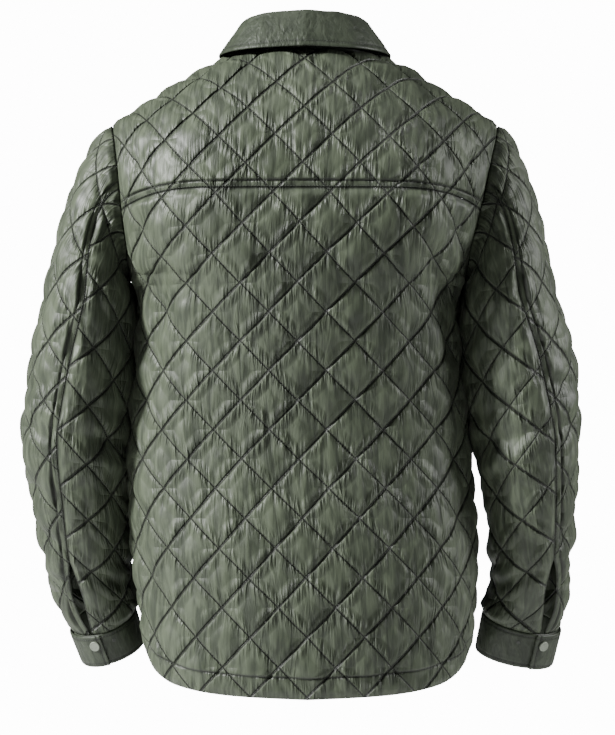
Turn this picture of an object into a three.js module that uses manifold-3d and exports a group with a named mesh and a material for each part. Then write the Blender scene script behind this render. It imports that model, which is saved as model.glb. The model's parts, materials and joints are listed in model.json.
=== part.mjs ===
// A quilted shirt jacket as it is worn: hollow, on no wearer, with the arms hanging.
// Millimetres. +X is the wearer's left, -Y the front, +Z up, the origin at the base of the neck.
import * as THREE from "three";
import { mergeVertices } from "three/addons/utils/BufferGeometryUtils.js";
import Module from "manifold-3d";

const wasm = await Module();
wasm.setup();

// Cloth
const WALL = 2.2;
const SEAM_GAP = 0.3;
const CAP_GAP = 0.8;
const SIDE_GAP = 0.85;
const EDGE_FADE = 13;
const NORMAL_FADE = 22;
const QUILT = { across: 63, down: 66, crown: 3.6 };
const BACK_CROSSING = 23;
const SLEEVE_CROSSING = 20;

// Body: the neck hole, the yoke and the hem, as places along the rows of BODY_ROWS
const NECK = { halfWidth: 75, back: 36, front: 262 };
const RIDGE = 95;
const YOKE_BACK = { at: -150, drop: 21, straight: 0.35 };
const YOKE_FRONT = 128;
const ARMPIT_BACK = -246;
const ARMPIT_FRONT = 436;
const CHEST_BACK = -275;
const CHEST_FRONT = 465;
const HEM_FRONT_ZERO = 190;
const GRID_STEP = 6;

// Trims
const PLACKET = { halfWidth: 16, thick: 1.8, clear: 0.45, step: 20 };
const COLLAR = { thick: 2.4, roll: 4 };
const CUFF = { thick: 2.8, turnClear: 0.7, below: 1.2, overlapStart: 300, rows: 3, columns: 44, snapDown: 0.3 };
const SNAP = { radius: 6, rim: 1.1, dome: 2, count: 6, firstBelowNeck: 22, spacing: 92, studSize: 0.36 };

const MIRROR = { left: 1, right: -1 };
const COLOURS = { shell: 0x4b5548, trim: 0x465043, snap: 0x7c8576, stud: 0x2c302a };

// Turns a table with named columns into one record for each row.
function table(columns, rows) {
  return rows.map((row) => Object.fromEntries(columns.map((column, i) => [column, row[i]])));
}

// The body from the back hem over the shoulder to the front hem. Each row runs from the
// middle to its edge, which is the side seam or, above the armpit, the armhole.
const BODY_ROWS = table(
  ["at", "zMid", "zEdge", "yMid", "xEdge", "yEdge", "turn", "full", "shift"],
  [
    [-740, -740, -740, 110, 180, 0, 90, 0.62, -3],
    [-640, -640, -640, 115, 185, 0, 90, 0.62, -3],
    [-540, -540, -540, 113, 193, 0, 90, 0.62, 1],
    [-435, -435, -435, 106, 190, 0, 90, 0.62, 7],
    [-330, -330, -330, 117, 181, 0, 90, 0.63, 8],
    [-275, -275, -275, 127, 178, 0, 90, 0.64, 8],
    [-258, -258, -256, 129, 181, 0, 88, 0.64, 8],
    [-246, -246, -244, 131, 191, 2, 80, 0.64, 8],
    [-236, -236, -235, 132, 192, 24, 72, 0.64, 8],
    [-212, -212, -212, 135, 194, 42, 66, 0.64, 7],
    [-180, -180, -180, 137, 200, 51, 60, 0.64, 5],
    [-150, -150, -150, 135, 205, 52, 56, 0.64, 3],
    [-90, -93, -113, 122, 211, 45, 50, 0.62, 1],
    [-27, -37, -88, 97, 216, 29, 38, 0.6, 0],
    [40, 11, -77, 56, 218, 12, 16, 0.6, 0],
    [95, 26, -74, 0, 219, 0, 0, 0.6, 0],
    [150, 10, -77, -50, 217, -12, -16, 0.6, 0],
    [217, -32, -90, -90, 210, -30, -38, 0.6, 0],
    [280, -86, -112, -115, 197, -46, -50, 0.62, 1],
    [340, -145, -148, -129, 186, -54, -56, 0.64, 3],
    [370, -178, -180, -134, 183, -53, -60, 0.64, 5],
    [402, -210, -212, -139, 184, -43, -66, 0.64, 7],
    [426, -235, -235, -142, 188, -24, -72, 0.64, 8],
    [436, -246, -244, -142, 191, -2, -80, 0.64, 8],
    [448, -258, -256, -141, 181, 0, -88, 0.64, 8],
    [465, -275, -275, -140, 178, 0, -90, 0.64, 8],
    [520, -330, -330, -134, 181, 0, -90, 0.63, 8],
    [625, -435, -435, -123, 190, 0, -90, 0.62, 7],
    [730, -540, -540, -121, 193, 0, -90, 0.62, 1],
    [830, -640, -640, -118, 185, 0, -90, 0.62, -3],
    [930, -740, -740, -114, 180, 0, -90, 0.62, -3],
  ],
);

// Height of the curved hem against the share of the way from the middle to the side seam.
const HEM = table(
  ["at", "z"],
  [
    [0, -716],
    [0.3, -712],
    [0.57, -703],
    [0.75, -689],
    [0.88, -672],
    [1, -662],
  ],
);

// Each arm from under the armpit to the cuff: centre, half sizes, and the angle of the back
// seam, from 0 at the outside to 90 at the back.
const ARM_COLUMNS = ["at", "x", "y", "z", "across", "deep", "seam"];
const ARMS = {
  left: table(ARM_COLUMNS, [
    [0, 245.5, 2, -272, 46.5, 77, 90],
    [58, 254, 3, -330, 51, 71, 84],
    [113, 260.5, 4, -385, 53.5, 66, 79],
    [153, 263.5, 2, -425, 54, 62, 75],
    [218, 258.5, -10, -488, 49.5, 58, 74],
    [290, 252, -32, -556, 44.5, 52, 72],
    [343, 243, -50, -605, 41, 47, 72],
    [377, 233.5, -61, -636, 36.5, 46, 72],
  ]),
  right: table(ARM_COLUMNS, [
    [0, 232, 2, -272, 49, 76, 80],
    [58, 242.5, 3, -330, 56.5, 67, 73],
    [113, 249.5, 4, -385, 58.5, 62, 67],
    [153, 252, 2, -425, 56, 60, 60],
    [218, 257, -10, -488, 49, 58, 59],
    [290, 259.5, -32, -556, 42.5, 53, 58],
    [343, 258, -50, -605, 41, 46, 58],
    [377, 250, -60, -638, 43, 40, 58],
  ]),
};
const FRONT_SEAM = -150;
const CAP_SEAM = 82;
const SLEEVE_END = 377;
const CAP_ROWS = 14;
const CUFFS = {
  left: { x: 221, y: -72, z: -675, across: 34.6, deep: 45, tabEnd: 87, snap: 74, stud: 107 },
  right: { x: 241, y: -71, z: -682, across: 42, deep: 38.5, tabEnd: 69, snap: 56, stud: 93 },
};
const VENTS = {
  left: { start: 284, open: 6 },
  right: { start: 284, open: 9 },
};

// The collar at turns round the neck from the middle of the back: its folded top edge and
// the lower edge of its fall.
const COLLAR_STATIONS = table(
  ["at", "topX", "topY", "topZ", "fallX", "fallY", "fallZ"],
  [
    [0, 0, 53, 50, 0, 82, 11],
    [30, 35, 46, 48, 52, 74, 9],
    [60, 60, 27, 42, 86, 42, 7],
    [90, 67, -8, 33, 97, -6, 6],
    [120, 60, -50, 16, 92, -70, -14],
    [150, 36, -84, -19, 70, -120, -54],
    [174, 8, -97, -34, 44, -136, -98],
  ],
);

// The largest folds, as soft troughs between two places on a surface's flat cloth.
const FOLD_COLUMNS = ["u0", "v0", "u1", "v1", "wide", "depth"];
const FOLDS = {
  body: table(FOLD_COLUMNS, [
    [152, 60, 172, -62, 13, -5],
    [172, -62, 196, -150, 16, -4],
    [-150, 62, -172, 6, 13, -6],
    [-172, 6, -196, -70, 15, -4],
    [-160, -20, -178, -150, 16, 4],
    [-186, -150, -200, -300, 18, -4],
    [205, -240, 190, -330, 15, -4],
    [-120, -405, -60, -420, 15, -3],
  ]),
  front: table(FOLD_COLUMNS, [
    [150, 60, 175, -70, 14, -5],
    [-150, 60, -178, -60, 14, -5],
    [180, -170, 205, -300, 17, -4],
    [-185, -160, -205, -290, 17, -4],
    [60, -350, 130, -385, 16, -3],
  ]),
  sleeve: table(FOLD_COLUMNS, [
    [-70, 150, 20, 158, 10, -5],
    [60, 148, 115, 160, 10, -5],
    [50, 110, 105, 98, 9, -4],
    [-40, 178, 30, 186, 9, 3],
    [40, 270, 95, 292, 9, -4],
    [-60, 318, 20, 330, 10, -4],
    [60, 338, 105, 326, 8, -4],
  ]),
};

function lerp(a, b, t) {
  return a + (b - a) * t;
}

function smoothstep(t) {
  const c = Math.min(1, Math.max(0, t));
  return c * c * (3 - 2 * c);
}

function radians(degrees) {
  return (degrees * Math.PI) / 180;
}

// A smooth curve through one column of a table that never swings past its rows.
function smooth(rows, column, at) {
  const last = rows.length - 1;
  let i = 0;
  while (i < last - 1 && at > rows[i + 1].at) {
    i += 1;
  }
  const secant = (j) => (rows[j + 1][column] - rows[j][column]) / (rows[j + 1].at - rows[j].at);
  const tangent = (j) => {
    if (j === 0) {
      return secant(0);
    }
    if (j === last) {
      return secant(last - 1);
    }
    const before = secant(j - 1);
    const after = secant(j);
    return before * after <= 0 ? 0 : (2 * before * after) / (before + after);
  };
  const span = rows[i + 1].at - rows[i].at;
  const t = (at - rows[i].at) / span;
  const t2 = t * t;
  const t3 = t2 * t;
  return (
    (2 * t3 - 3 * t2 + 1) * rows[i][column] +
    (t3 - 2 * t2 + t) * span * tangent(i) +
    (3 * t2 - 2 * t3) * rows[i + 1][column] +
    (t3 - t2) * span * tangent(i + 1)
  );
}

// A point of the body on the row at `at`, with k from -1 at the right edge to 1 at the left.
const NECK_ROUNDING = 0.35;
function bodyPoint(k, at) {
  const value = (column) => smooth(BODY_ROWS, column, at);
  const [xEdge, yEdge, yMid] = [value("xEdge"), value("yEdge"), value("yMid")];
  const turn = radians(value("turn"));
  const full = value("full");
  const t = Math.abs(k);
  const reach = full * (0.7 * Math.cos(turn) * xEdge + Math.abs(Math.sin(turn) * (yMid - yEdge)));
  const weights = [(1 - t) ** 3, 3 * t * (1 - t) ** 2, 3 * t * t * (1 - t), t ** 3];
  const xs = [0, full * xEdge, xEdge - reach * Math.cos(turn), xEdge];
  const ys = [yMid, yMid, yEdge + reach * Math.sin(turn), yEdge];
  const x = weights.reduce((sum, w, i) => sum + w * xs[i], 0);
  const y = weights.reduce((sum, w, i) => sum + w * ys[i], 0);
  const drop = (s) => Math.sqrt(1 + (s / NECK_ROUNDING) ** 2) - 1;
  const z = lerp(value("zMid"), value("zEdge"), drop(x / xEdge) / drop(1));
  return new THREE.Vector3(Math.sign(k) * x + value("shift"), y, z);
}

function nearestIndex(values, wanted) {
  const away = values.map((value) => Math.abs(value - wanted));
  return away.indexOf(Math.min(...away));
}

// A surface measured as flat cloth: u runs along each row from its middle line, and v runs
// across the rows from the base row, so a straight pattern in u and v stays straight.
function makeSurface(point, ats, base, reach, step) {
  const half = 60;
  const columns = Math.ceil(reach / step);
  const rowLengths = ats.map((at) => {
    const rowPoints = [];
    for (let i = -half; i <= half; i += 1) {
      rowPoints.push(point(i / half, at));
    }
    const lengths = [0];
    for (let i = 1; i < rowPoints.length; i += 1) {
      lengths.push(lengths[i - 1] + rowPoints[i].distanceTo(rowPoints[i - 1]));
    }
    const middle = lengths[half];
    return { points: rowPoints, lengths: lengths.map((length) => length - middle) };
  });
  const onRow = (row, u) => {
    const { points, lengths } = rowLengths[row];
    let i = 0;
    while (i < lengths.length - 2 && u > lengths[i + 1]) {
      i += 1;
    }
    const t = (u - lengths[i]) / (lengths[i + 1] - lengths[i]);
    return new THREE.Vector3().lerpVectors(points[i], points[i + 1], t);
  };
  const grid = [];
  const rise = [];
  const baseRow = nearestIndex(ats, base);
  for (let c = -columns; c <= columns; c += 1) {
    const line = ats.map((at, row) => onRow(row, c * step));
    const length = [0];
    for (let i = 1; i < line.length; i += 1) {
      length.push(length[i - 1] + line[i].distanceTo(line[i - 1]));
    }
    grid.push(line);
    rise.push(length.map((value) => value - length[baseRow]));
  }
  const clampColumn = (u) => Math.min(2 * columns - 1, Math.max(0, Math.floor(u / step) + columns));
  const onColumn = (c, v) => {
    let low = 0;
    let high = ats.length - 1;
    while (high - low > 1) {
      const mid = (low + high) >> 1;
      if (rise[c][mid] <= v) {
        low = mid;
      } else {
        high = mid;
      }
    }
    const t = (v - rise[c][low]) / (rise[c][high] - rise[c][low]);
    return new THREE.Vector3().lerpVectors(grid[c][low], grid[c][high], t);
  };
  const at = (u, v) => {
    const c = clampColumn(u);
    const t = u / step + columns - c;
    return onColumn(c, v).lerp(onColumn(c + 1, v), t);
  };
  const rowOf = (value) => {
    let row = 0;
    while (row < ats.length - 2 && value > ats[row + 1]) {
      row += 1;
    }
    return [row, (value - ats[row]) / (ats[row + 1] - ats[row])];
  };
  // The flat place of the point k along the row at `value`.
  const flat = (k, value) => {
    const [row, t] = rowOf(value);
    const place = (k + 1) * half;
    const i = Math.min(2 * half - 1, Math.floor(place));
    const along = (r) => lerp(rowLengths[r].lengths[i], rowLengths[r].lengths[i + 1], place - i);
    const u = lerp(along(row), along(row + 1), t);
    return [u, riseAt(u, value)];
  };
  const riseAt = (u, value) => {
    const [row, t] = rowOf(value);
    const c = clampColumn(u);
    const across = u / step + columns - c;
    const low = lerp(rise[c][row], rise[c + 1][row], across);
    const high = lerp(rise[c][row + 1], rise[c + 1][row + 1], across);
    return lerp(low, high, t);
  };
  return { at, flat, riseAt };
}

// How far a surface is pushed in or out by its folds at a flat place.
function foldDepth(folds, u, v) {
  return folds.reduce((sum, fold) => {
    const [du, dv] = [fold.u1 - fold.u0, fold.v1 - fold.v0];
    const along = ((u - fold.u0) * du + (v - fold.v0) * dv) / (du * du + dv * dv);
    const t = Math.min(1, Math.max(0, along));
    const distance = Math.hypot(u - fold.u0 - t * du, v - fold.v0 - t * dv);
    const taper = Math.sin(Math.PI * lerp(0.12, 0.88, t));
    return sum + fold.depth * taper * Math.exp(-((distance / fold.wide) ** 2));
  }, 0);
}

// Distance from a flat place to the outline of a piece, and the nearest place on it.
function nearestOnOutline(outline, u, v) {
  let best = { distance: Infinity };
  outline.forEach(([u0, v0], i) => {
    const [u1, v1] = outline[(i + 1) % outline.length];
    const [du, dv] = [u1 - u0, v1 - v0];
    const t = Math.min(1, Math.max(0, ((u - u0) * du + (v - v0) * dv) / (du * du + dv * dv)));
    const [nu, nv] = [u0 + t * du, v0 + t * dv];
    const distance = Math.hypot(u - nu, v - nv);
    if (distance < best.distance) {
      best = { distance, nu, nv };
    }
  });
  return best;
}

function toManifold(geometry) {
  const bare = geometry.clone();
  bare.deleteAttribute("normal");
  bare.deleteAttribute("uv");
  const merged = mergeVertices(bare, 1e-4);
  return new wasm.Manifold(
    new wasm.Mesh({
      numProp: 3,
      vertProperties: new Float32Array(merged.attributes.position.array),
      triVerts: new Uint32Array(merged.index.array),
    }),
  );
}

function geometryOf(positions, indices) {
  const geometry = new THREE.BufferGeometry();
  geometry.setAttribute("position", new THREE.Float32BufferAttribute(positions, 3));
  geometry.setIndex(indices);
  geometry.computeVertexNormals();
  return geometry;
}

// A flat slab over a piece's outline whose edges follow the stitch lines. Small steps in its
// height keep every vertex, and vertices close to the outline move off it.
const SLAB_CLEAR = 3.2;
function quiltSlab(outline, crossing) {
  const [du, dv] = [QUILT.across / 2, QUILT.down / 2];
  const us = outline.map((place) => place[0]);
  const vs = outline.map((place) => place[1]);
  const i0 = Math.floor(Math.min(...us) / du) - 1;
  const i1 = Math.ceil(Math.max(...us) / du) + 1;
  const j0 = Math.floor((Math.min(...vs) - crossing) / dv) - 1;
  const j1 = Math.ceil((Math.max(...vs) - crossing) / dv) + 1;
  const [across, down] = [i1 - i0 + 1, j1 - j0 + 1];
  const positions = [];
  for (const level of [0, 1]) {
    for (let j = j0; j <= j1; j += 1) {
      for (let i = i0; i <= i1; i += 1) {
        let [u, v] = [i * du, j * dv + crossing];
        const near = nearestOnOutline(outline, u, v);
        if (near.distance < SLAB_CLEAR) {
          const grow = SLAB_CLEAR / Math.max(near.distance, 0.01);
          u = near.nu + (u - near.nu) * grow;
          v = near.nv + (v - near.nv) * grow;
        }
        const uneven = 0.2 * Math.sin(i * 2.3 + j * 3.7) + 0.1 * Math.cos(i * 5.1 - j);
        positions.push(u, v, level * 2 + uneven);
      }
    }
  }
  const indices = [];
  const id = (level, i, j) => level * across * down + j * across + i;
  const face = (level, a, b, c) => indices.push(...(level ? [a, b, c] : [a, c, b]));
  for (const level of [0, 1]) {
    for (let j = 0; j < down - 1; j += 1) {
      for (let i = 0; i < across - 1; i += 1) {
        const [a, b] = [id(level, i, j), id(level, i + 1, j)];
        const [c, d] = [id(level, i + 1, j + 1), id(level, i, j + 1)];
        if ((i + i0 + j + j0) % 2 === 0) {
          face(level, a, b, c);
          face(level, a, c, d);
        } else {
          face(level, a, b, d);
          face(level, b, c, d);
        }
      }
    }
  }
  const rim = [];
  for (let i = 0; i < across - 1; i += 1) {
    rim.push([i, 0]);
  }
  for (let j = 0; j < down - 1; j += 1) {
    rim.push([across - 1, j]);
  }
  for (let i = across - 1; i > 0; i -= 1) {
    rim.push([i, down - 1]);
  }
  for (let j = down - 1; j > 0; j -= 1) {
    rim.push([0, j]);
  }
  rim.forEach(([i, j], n) => {
    const [ni, nj] = rim[(n + 1) % rim.length];
    const [a, b, c, d] = [id(0, i, j), id(0, ni, nj), id(1, ni, nj), id(1, i, j)];
    indices.push(a, b, c, a, c, d);
  });
  return toManifold(geometryOf(positions, indices));
}

// The height of the padding at a flat place: highest in the middle of each diamond.
function quiltHeight(u, v, crossing) {
  const a = u / QUILT.across + (v - crossing) / QUILT.down;
  const b = u / QUILT.across - (v - crossing) / QUILT.down;
  return QUILT.crown * Math.abs(Math.sin(Math.PI * a) * Math.sin(Math.PI * b)) ** 0.8;
}

function surfaceNormal(surface, u, v) {
  const h = 3;
  const alongU = surface.at(u + h, v).sub(surface.at(u - h, v));
  const alongV = surface.at(u, v + h).sub(surface.at(u, v - h));
  return alongU.cross(alongV).normalize();
}

// Near a seam between two surfaces the wall's direction turns to the one that both share.
function wallNormal(surface, u, v, point, loops, side) {
  const normal = surfaceNormal(surface, u, v).multiplyScalar(side);
  for (const loop of loops) {
    let best = { distance: Infinity };
    loop.forEach((sample) => {
      const distance = sample.point.distanceTo(point);
      if (distance < best.distance) {
        best = { distance, normal: sample.normal };
      }
    });
    const share = smoothstep(1 - best.distance / NORMAL_FADE);
    normal.lerp(best.normal, share).normalize();
  }
  return normal;
}

// A quilted piece: its flat outline cut from a slab, then laid on its surface as a wall.
function quiltedPiece(spec) {
  const { surface, outline, crossing, folds, loops = [], side = 1, plain = () => 1 } = spec;
  const shape = new THREE.Shape(outline.map(([u, v]) => new THREE.Vector2(u, v)));
  const prism = new THREE.ExtrudeGeometry(shape, { depth: 12, bevelEnabled: false });
  prism.translate(0, 0, -5);
  const cut = quiltSlab(outline, crossing).intersect(toManifold(prism)).getMesh();
  const positions = [];
  for (let n = 0; n < cut.vertProperties.length; n += cut.numProp) {
    const [u, v, w] = cut.vertProperties.slice(n, n + 3);
    const point = surface.at(u, v);
    const normal = wallNormal(surface, u, v, point, loops, side);
    const edge = smoothstep(nearestOnOutline(outline, u, v).distance / EDGE_FADE);
    const sunk = foldDepth(folds, u, v) * edge;
    const height = quiltHeight(u, v, crossing) * edge * plain(u, v);
    point.addScaledVector(normal, sunk + (w > 1 ? WALL + height : 0));
    positions.push(...point);
  }
  const indices = [...cut.triVerts];
  return geometryOf(positions, side > 0 ? indices : indices.reverse());
}

// A closed wall between two grids of points, rows by columns, with its face side outward.
function wallBetween(inner, outer) {
  const rows = inner.length;
  const columns = inner[0].length;
  const positions = [...inner.flat(), ...outer.flat()].flatMap((point) => [...point]);
  const id = (level, j, i) => level * rows * columns + j * columns + i;
  const indices = [];
  const quad = (a, b, c, d) => indices.push(a, b, c, a, c, d);
  for (let j = 0; j < rows - 1; j += 1) {
    for (let i = 0; i < columns - 1; i += 1) {
      quad(id(1, j, i), id(1, j, i + 1), id(1, j + 1, i + 1), id(1, j + 1, i));
      quad(id(0, j, i), id(0, j + 1, i), id(0, j + 1, i + 1), id(0, j, i + 1));
    }
  }
  for (let i = 0; i < columns - 1; i += 1) {
    quad(id(0, 0, i), id(0, 0, i + 1), id(1, 0, i + 1), id(1, 0, i));
    quad(id(0, rows - 1, i + 1), id(0, rows - 1, i), id(1, rows - 1, i), id(1, rows - 1, i + 1));
  }
  const last = columns - 1;
  for (let j = 0; j < rows - 1; j += 1) {
    quad(id(0, j + 1, 0), id(0, j, 0), id(1, j, 0), id(1, j + 1, 0));
    quad(id(0, j, last), id(0, j + 1, last), id(1, j + 1, last), id(1, j, last));
  }
  const geometry = geometryOf(positions, indices);
  return signedVolume(geometry) < 0 ? geometryOf(positions, indices.reverse()) : geometry;
}

function signedVolume(geometry) {
  const position = geometry.attributes.position;
  const [a, b, c] = [new THREE.Vector3(), new THREE.Vector3(), new THREE.Vector3()];
  let volume = 0;
  for (let i = 0; i < geometry.index.count; i += 3) {
    a.fromBufferAttribute(position, geometry.index.getX(i));
    b.fromBufferAttribute(position, geometry.index.getX(i + 1));
    c.fromBufferAttribute(position, geometry.index.getX(i + 2));
    volume += a.dot(b.cross(c)) / 6;
  }
  return volume;
}

function range(from, to, count) {
  return Array.from({ length: count }, (_, i) => lerp(from, to, i / (count - 1)));
}

function steps(from, to, step) {
  return range(from, to, Math.max(2, Math.round(Math.abs(to - from) / step) + 1));
}

// The two measured surfaces of the body: one counts its cloth from the back, one from the front.
const bodyAts = steps(BODY_ROWS[0].at, BODY_ROWS.at(-1).at, GRID_STEP);
const backSurface = makeSurface(bodyPoint, bodyAts, CHEST_BACK, 330, GRID_STEP);
const frontSurface = makeSurface(bodyPoint, bodyAts, CHEST_FRONT, 330, GRID_STEP);

// The place k along a row where the body lies `x` from its middle line.
function kAtX(x, at) {
  const shift = smooth(BODY_ROWS, "shift", at);
  let [low, high] = [0, 1];
  for (let i = 0; i < 30; i += 1) {
    const middle = (low + high) / 2;
    if (bodyPoint(middle, at).x - shift < Math.abs(x)) {
      low = middle;
    } else {
      high = middle;
    }
  }
  return Math.sign(x) * low;
}

// The neck hole as an angle from the middle of the back, 0, to the middle of the front, 180.
function neckPlace(degrees) {
  const turn = radians(degrees);
  const reach = degrees <= 90 ? RIDGE - NECK.back : NECK.front - RIDGE;
  const at = RIDGE - reach * Math.cos(turn);
  return [kAtX(NECK.halfWidth * Math.sin(turn), at), at];
}

// The shared wall direction along a closed loop of points, facing away from its middle.
function loopSamples(points, tilt) {
  const middle = points.reduce((sum, p) => sum.add(p), new THREE.Vector3()).divideScalar(points.length);
  return points.map((point, i) => {
    const next = points[(i + 1) % points.length];
    const previous = points[(i - 1 + points.length) % points.length];
    const tangent = next.clone().sub(previous).normalize();
    const outward = point.clone().sub(middle);
    outward.addScaledVector(tangent, -outward.dot(tangent)).normalize();
    const normal = outward.add(tilt).normalize();
    return { point, tangent, normal };
  });
}

const neckPoints = steps(-180, 176, 4).map((degrees) => {
  const [k, at] = neckPlace(Math.abs(degrees));
  return bodyPoint(Math.sign(degrees || 1) * Math.abs(k), at);
});
const neckLoop = loopSamples(neckPoints, new THREE.Vector3(0, 0, 0.55));

function armholeAts() {
  return steps(ARMPIT_BACK, ARMPIT_FRONT, 6);
}

function armholeLoop(side) {
  const points = armholeAts().map((at) => bodyPoint(side, at));
  return loopSamples(points, new THREE.Vector3(0, 0, 0));
}
const armholes = { left: armholeLoop(1), right: armholeLoop(-1) };
const bodyLoops = [neckLoop, armholes.left, armholes.right];

// Outlines of the body's pieces as flat places, one side after the other.
function rowLine(surface, at, k0, k1, inset = 0, step = 16) {
  return range(k0, k1, Math.ceil((Math.abs(k1 - k0) * 270) / step) + 1).map((k) => {
    const [u, v] = surface.flat(k, at);
    return [u, v + inset];
  });
}

// The row of the back's yoke seam, which dips towards the armholes.
function yokeSeamAt(k) {
  const share = Math.max(0, (Math.abs(k) - YOKE_BACK.straight) / (1 - YOKE_BACK.straight));
  return YOKE_BACK.at - YOKE_BACK.drop * share * share;
}

function yokeSeamLine(k0, k1, inset) {
  return range(k0, k1, 36).map((k) => {
    const [u, v] = backSurface.flat(k, yokeSeamAt(k));
    return [u, v + inset];
  });
}

function edgeLine(surface, side, at0, at1, inset = 0, step = 12) {
  return steps(at0, at1, step).map((at) => {
    const [u, v] = surface.flat(side, at);
    return [u - side * inset, v];
  });
}

// The hem runs at its own height over rows that lie level.
function hemLine(surface, k0, k1, flip) {
  return range(k0, k1, Math.ceil(Math.abs(k1 - k0) * 18) + 1).map((k) => {
    const z = smooth(HEM, "z", Math.abs(k));
    return surface.flat(k, flip ? HEM_FRONT_ZERO - z : z);
  });
}

function neckLine(surface, from, to) {
  return steps(from, to, 6).map((degrees) => {
    const [k, at] = neckPlace(Math.abs(degrees));
    return surface.flat(Math.sign(degrees || 1) * Math.abs(k), at);
  });
}

// Drops repeated places where two sides of an outline meet.
function closeOutline(...sides) {
  const places = sides.flat();
  const kept = places.filter(([u, v], i) => {
    const [pu, pv] = places[(i - 1 + places.length) % places.length];
    return Math.hypot(u - pu, v - pv) > 0.6;
  });
  return kept;
}

const HALF_GAP = SEAM_GAP / 2 + 0.05;
const SIDE_HEM = HEM.at(-1).z;
const neckYokeTurn = (() => {
  const share = (YOKE_FRONT - RIDGE) / (NECK.front - RIDGE);
  return 90 + (Math.asin(share) * 180) / Math.PI;
})();

function backOutline() {
  return closeOutline(
    hemLine(backSurface, -1 + 0.001, 1 - 0.001, false),
    edgeLine(backSurface, 1, SIDE_HEM, ARMPIT_BACK, SIDE_GAP / 2),
    edgeLine(backSurface, 1, ARMPIT_BACK, yokeSeamAt(1) - 1),
    yokeSeamLine(1, -1, -HALF_GAP),
    edgeLine(backSurface, -1, yokeSeamAt(1) - 1, ARMPIT_BACK),
    edgeLine(backSurface, -1, ARMPIT_BACK, SIDE_HEM, SIDE_GAP / 2),
  );
}

function yokeOutline() {
  const [neckK] = neckPlace(neckYokeTurn);
  return closeOutline(
    yokeSeamLine(-1, 1, HALF_GAP),
    edgeLine(backSurface, 1, yokeSeamAt(1) + 1, YOKE_FRONT - 1),
    rowLine(backSurface, YOKE_FRONT, 1, neckK, -HALF_GAP),
    neckLine(backSurface, neckYokeTurn - 1, -neckYokeTurn + 1),
    rowLine(backSurface, YOKE_FRONT, -neckK, -1, -HALF_GAP),
    edgeLine(backSurface, -1, YOKE_FRONT - 1, yokeSeamAt(1) + 1),
  );
}

function frontOutline(side) {
  const [neckK] = neckPlace(neckYokeTurn);
  const middle = steps(NECK.front + 3, HEM_FRONT_ZERO - HEM[0].z, 18).map((at) => {
    const [, v] = frontSurface.flat(0, at);
    return [side * HALF_GAP, v];
  });
  return closeOutline(
    rowLine(frontSurface, YOKE_FRONT, side * neckK, side, HALF_GAP),
    edgeLine(frontSurface, side, YOKE_FRONT + 1, ARMPIT_FRONT),
    edgeLine(frontSurface, side, ARMPIT_FRONT, HEM_FRONT_ZERO - SIDE_HEM, SIDE_GAP / 2),
    hemLine(frontSurface, side * (1 - 0.001), side * 0.01, true),
    middle.reverse(),
    neckLine(frontSurface, side * 179, side * (neckYokeTurn + 1)),
  );
}

// A sleeve's rows: from the armhole's loop over the cap to the arm's own rings.
function armCentre(side, at) {
  const rows = ARMS[side];
  const mirror = MIRROR[side];
  return new THREE.Vector3(mirror * smooth(rows, "x", at), smooth(rows, "y", at), smooth(rows, "z", at));
}

function armAxis(side, at) {
  return armCentre(side, at + 6).sub(armCentre(side, at - 6)).normalize();
}

// The two directions across an arm: away from the body, and to the back.
function ringDirections(axis, mirror) {
  const across = new THREE.Vector3(mirror, 0, 0);
  across.addScaledVector(axis, -across.dot(axis)).normalize();
  const back = axis.clone().cross(across).normalize();
  back.multiplyScalar(Math.sign(back.y));
  return [across, back];
}

function armRing(side, at, degrees) {
  const rows = ARMS[side];
  const mirror = MIRROR[side];
  const [across, back] = ringDirections(armAxis(side, at), mirror);
  const turn = radians(degrees);
  return armCentre(side, at)
    .addScaledVector(across, smooth(rows, "across", at) * Math.cos(turn))
    .addScaledVector(back, smooth(rows, "deep", at) * Math.sin(turn));
}

// The armhole's point and directions at an angle, by its share of the back or front branch.
function armholeAt(side, degrees) {
  const loop = armholes[side];
  const top = nearestIndex(armholeAts(), RIDGE);
  const branch = degrees >= 0 ? loop.slice(0, top + 1).reverse() : loop.slice(top);
  const lengths = [0];
  for (let i = 1; i < branch.length; i += 1) {
    lengths.push(lengths[i - 1] + branch[i].point.distanceTo(branch[i - 1].point));
  }
  const wanted = (Math.abs(degrees) / 180) * lengths.at(-1);
  let i = 0;
  while (i < lengths.length - 2 && wanted > lengths[i + 1]) {
    i += 1;
  }
  const t = (wanted - lengths[i]) / (lengths[i + 1] - lengths[i]);
  const blend = (key) => new THREE.Vector3().lerpVectors(branch[i][key], branch[i + 1][key], t);
  const normal = blend("normal").normalize();
  const tangent = blend("tangent").normalize();
  const away = tangent.cross(normal).normalize();
  away.multiplyScalar(Math.sign(away.x) * MIRROR[side]);
  return { point: blend("point"), normal, away };
}

function sleevePoint(side, degrees, at) {
  const turned = ((((degrees + 180) % 360) + 360) % 360) - 180;
  if (at >= 0) {
    return armRing(side, at, turned);
  }
  const { point, away } = armholeAt(side, turned);
  const start = point.addScaledVector(away, CAP_GAP);
  const end = armRing(side, 0, turned);
  const axis = armCentre(side, 8).sub(armCentre(side, 0)).normalize();
  const length = start.distanceTo(end);
  const outer = Math.max(0, Math.cos(radians(turned)));
  const leave = away.clone().add(new THREE.Vector3(0, 0, -0.75 * outer)).normalize();
  const t = (at + CAP_ROWS) / CAP_ROWS;
  const t2 = t * t;
  const t3 = t2 * t;
  return new THREE.Vector3()
    .addScaledVector(start, 2 * t3 - 3 * t2 + 1)
    .addScaledVector(leave, (t3 - 2 * t2 + t) * length * 0.8)
    .addScaledVector(end, 3 * t2 - 2 * t3)
    .addScaledVector(axis, (t3 - t2) * length * 0.8);
}

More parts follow.
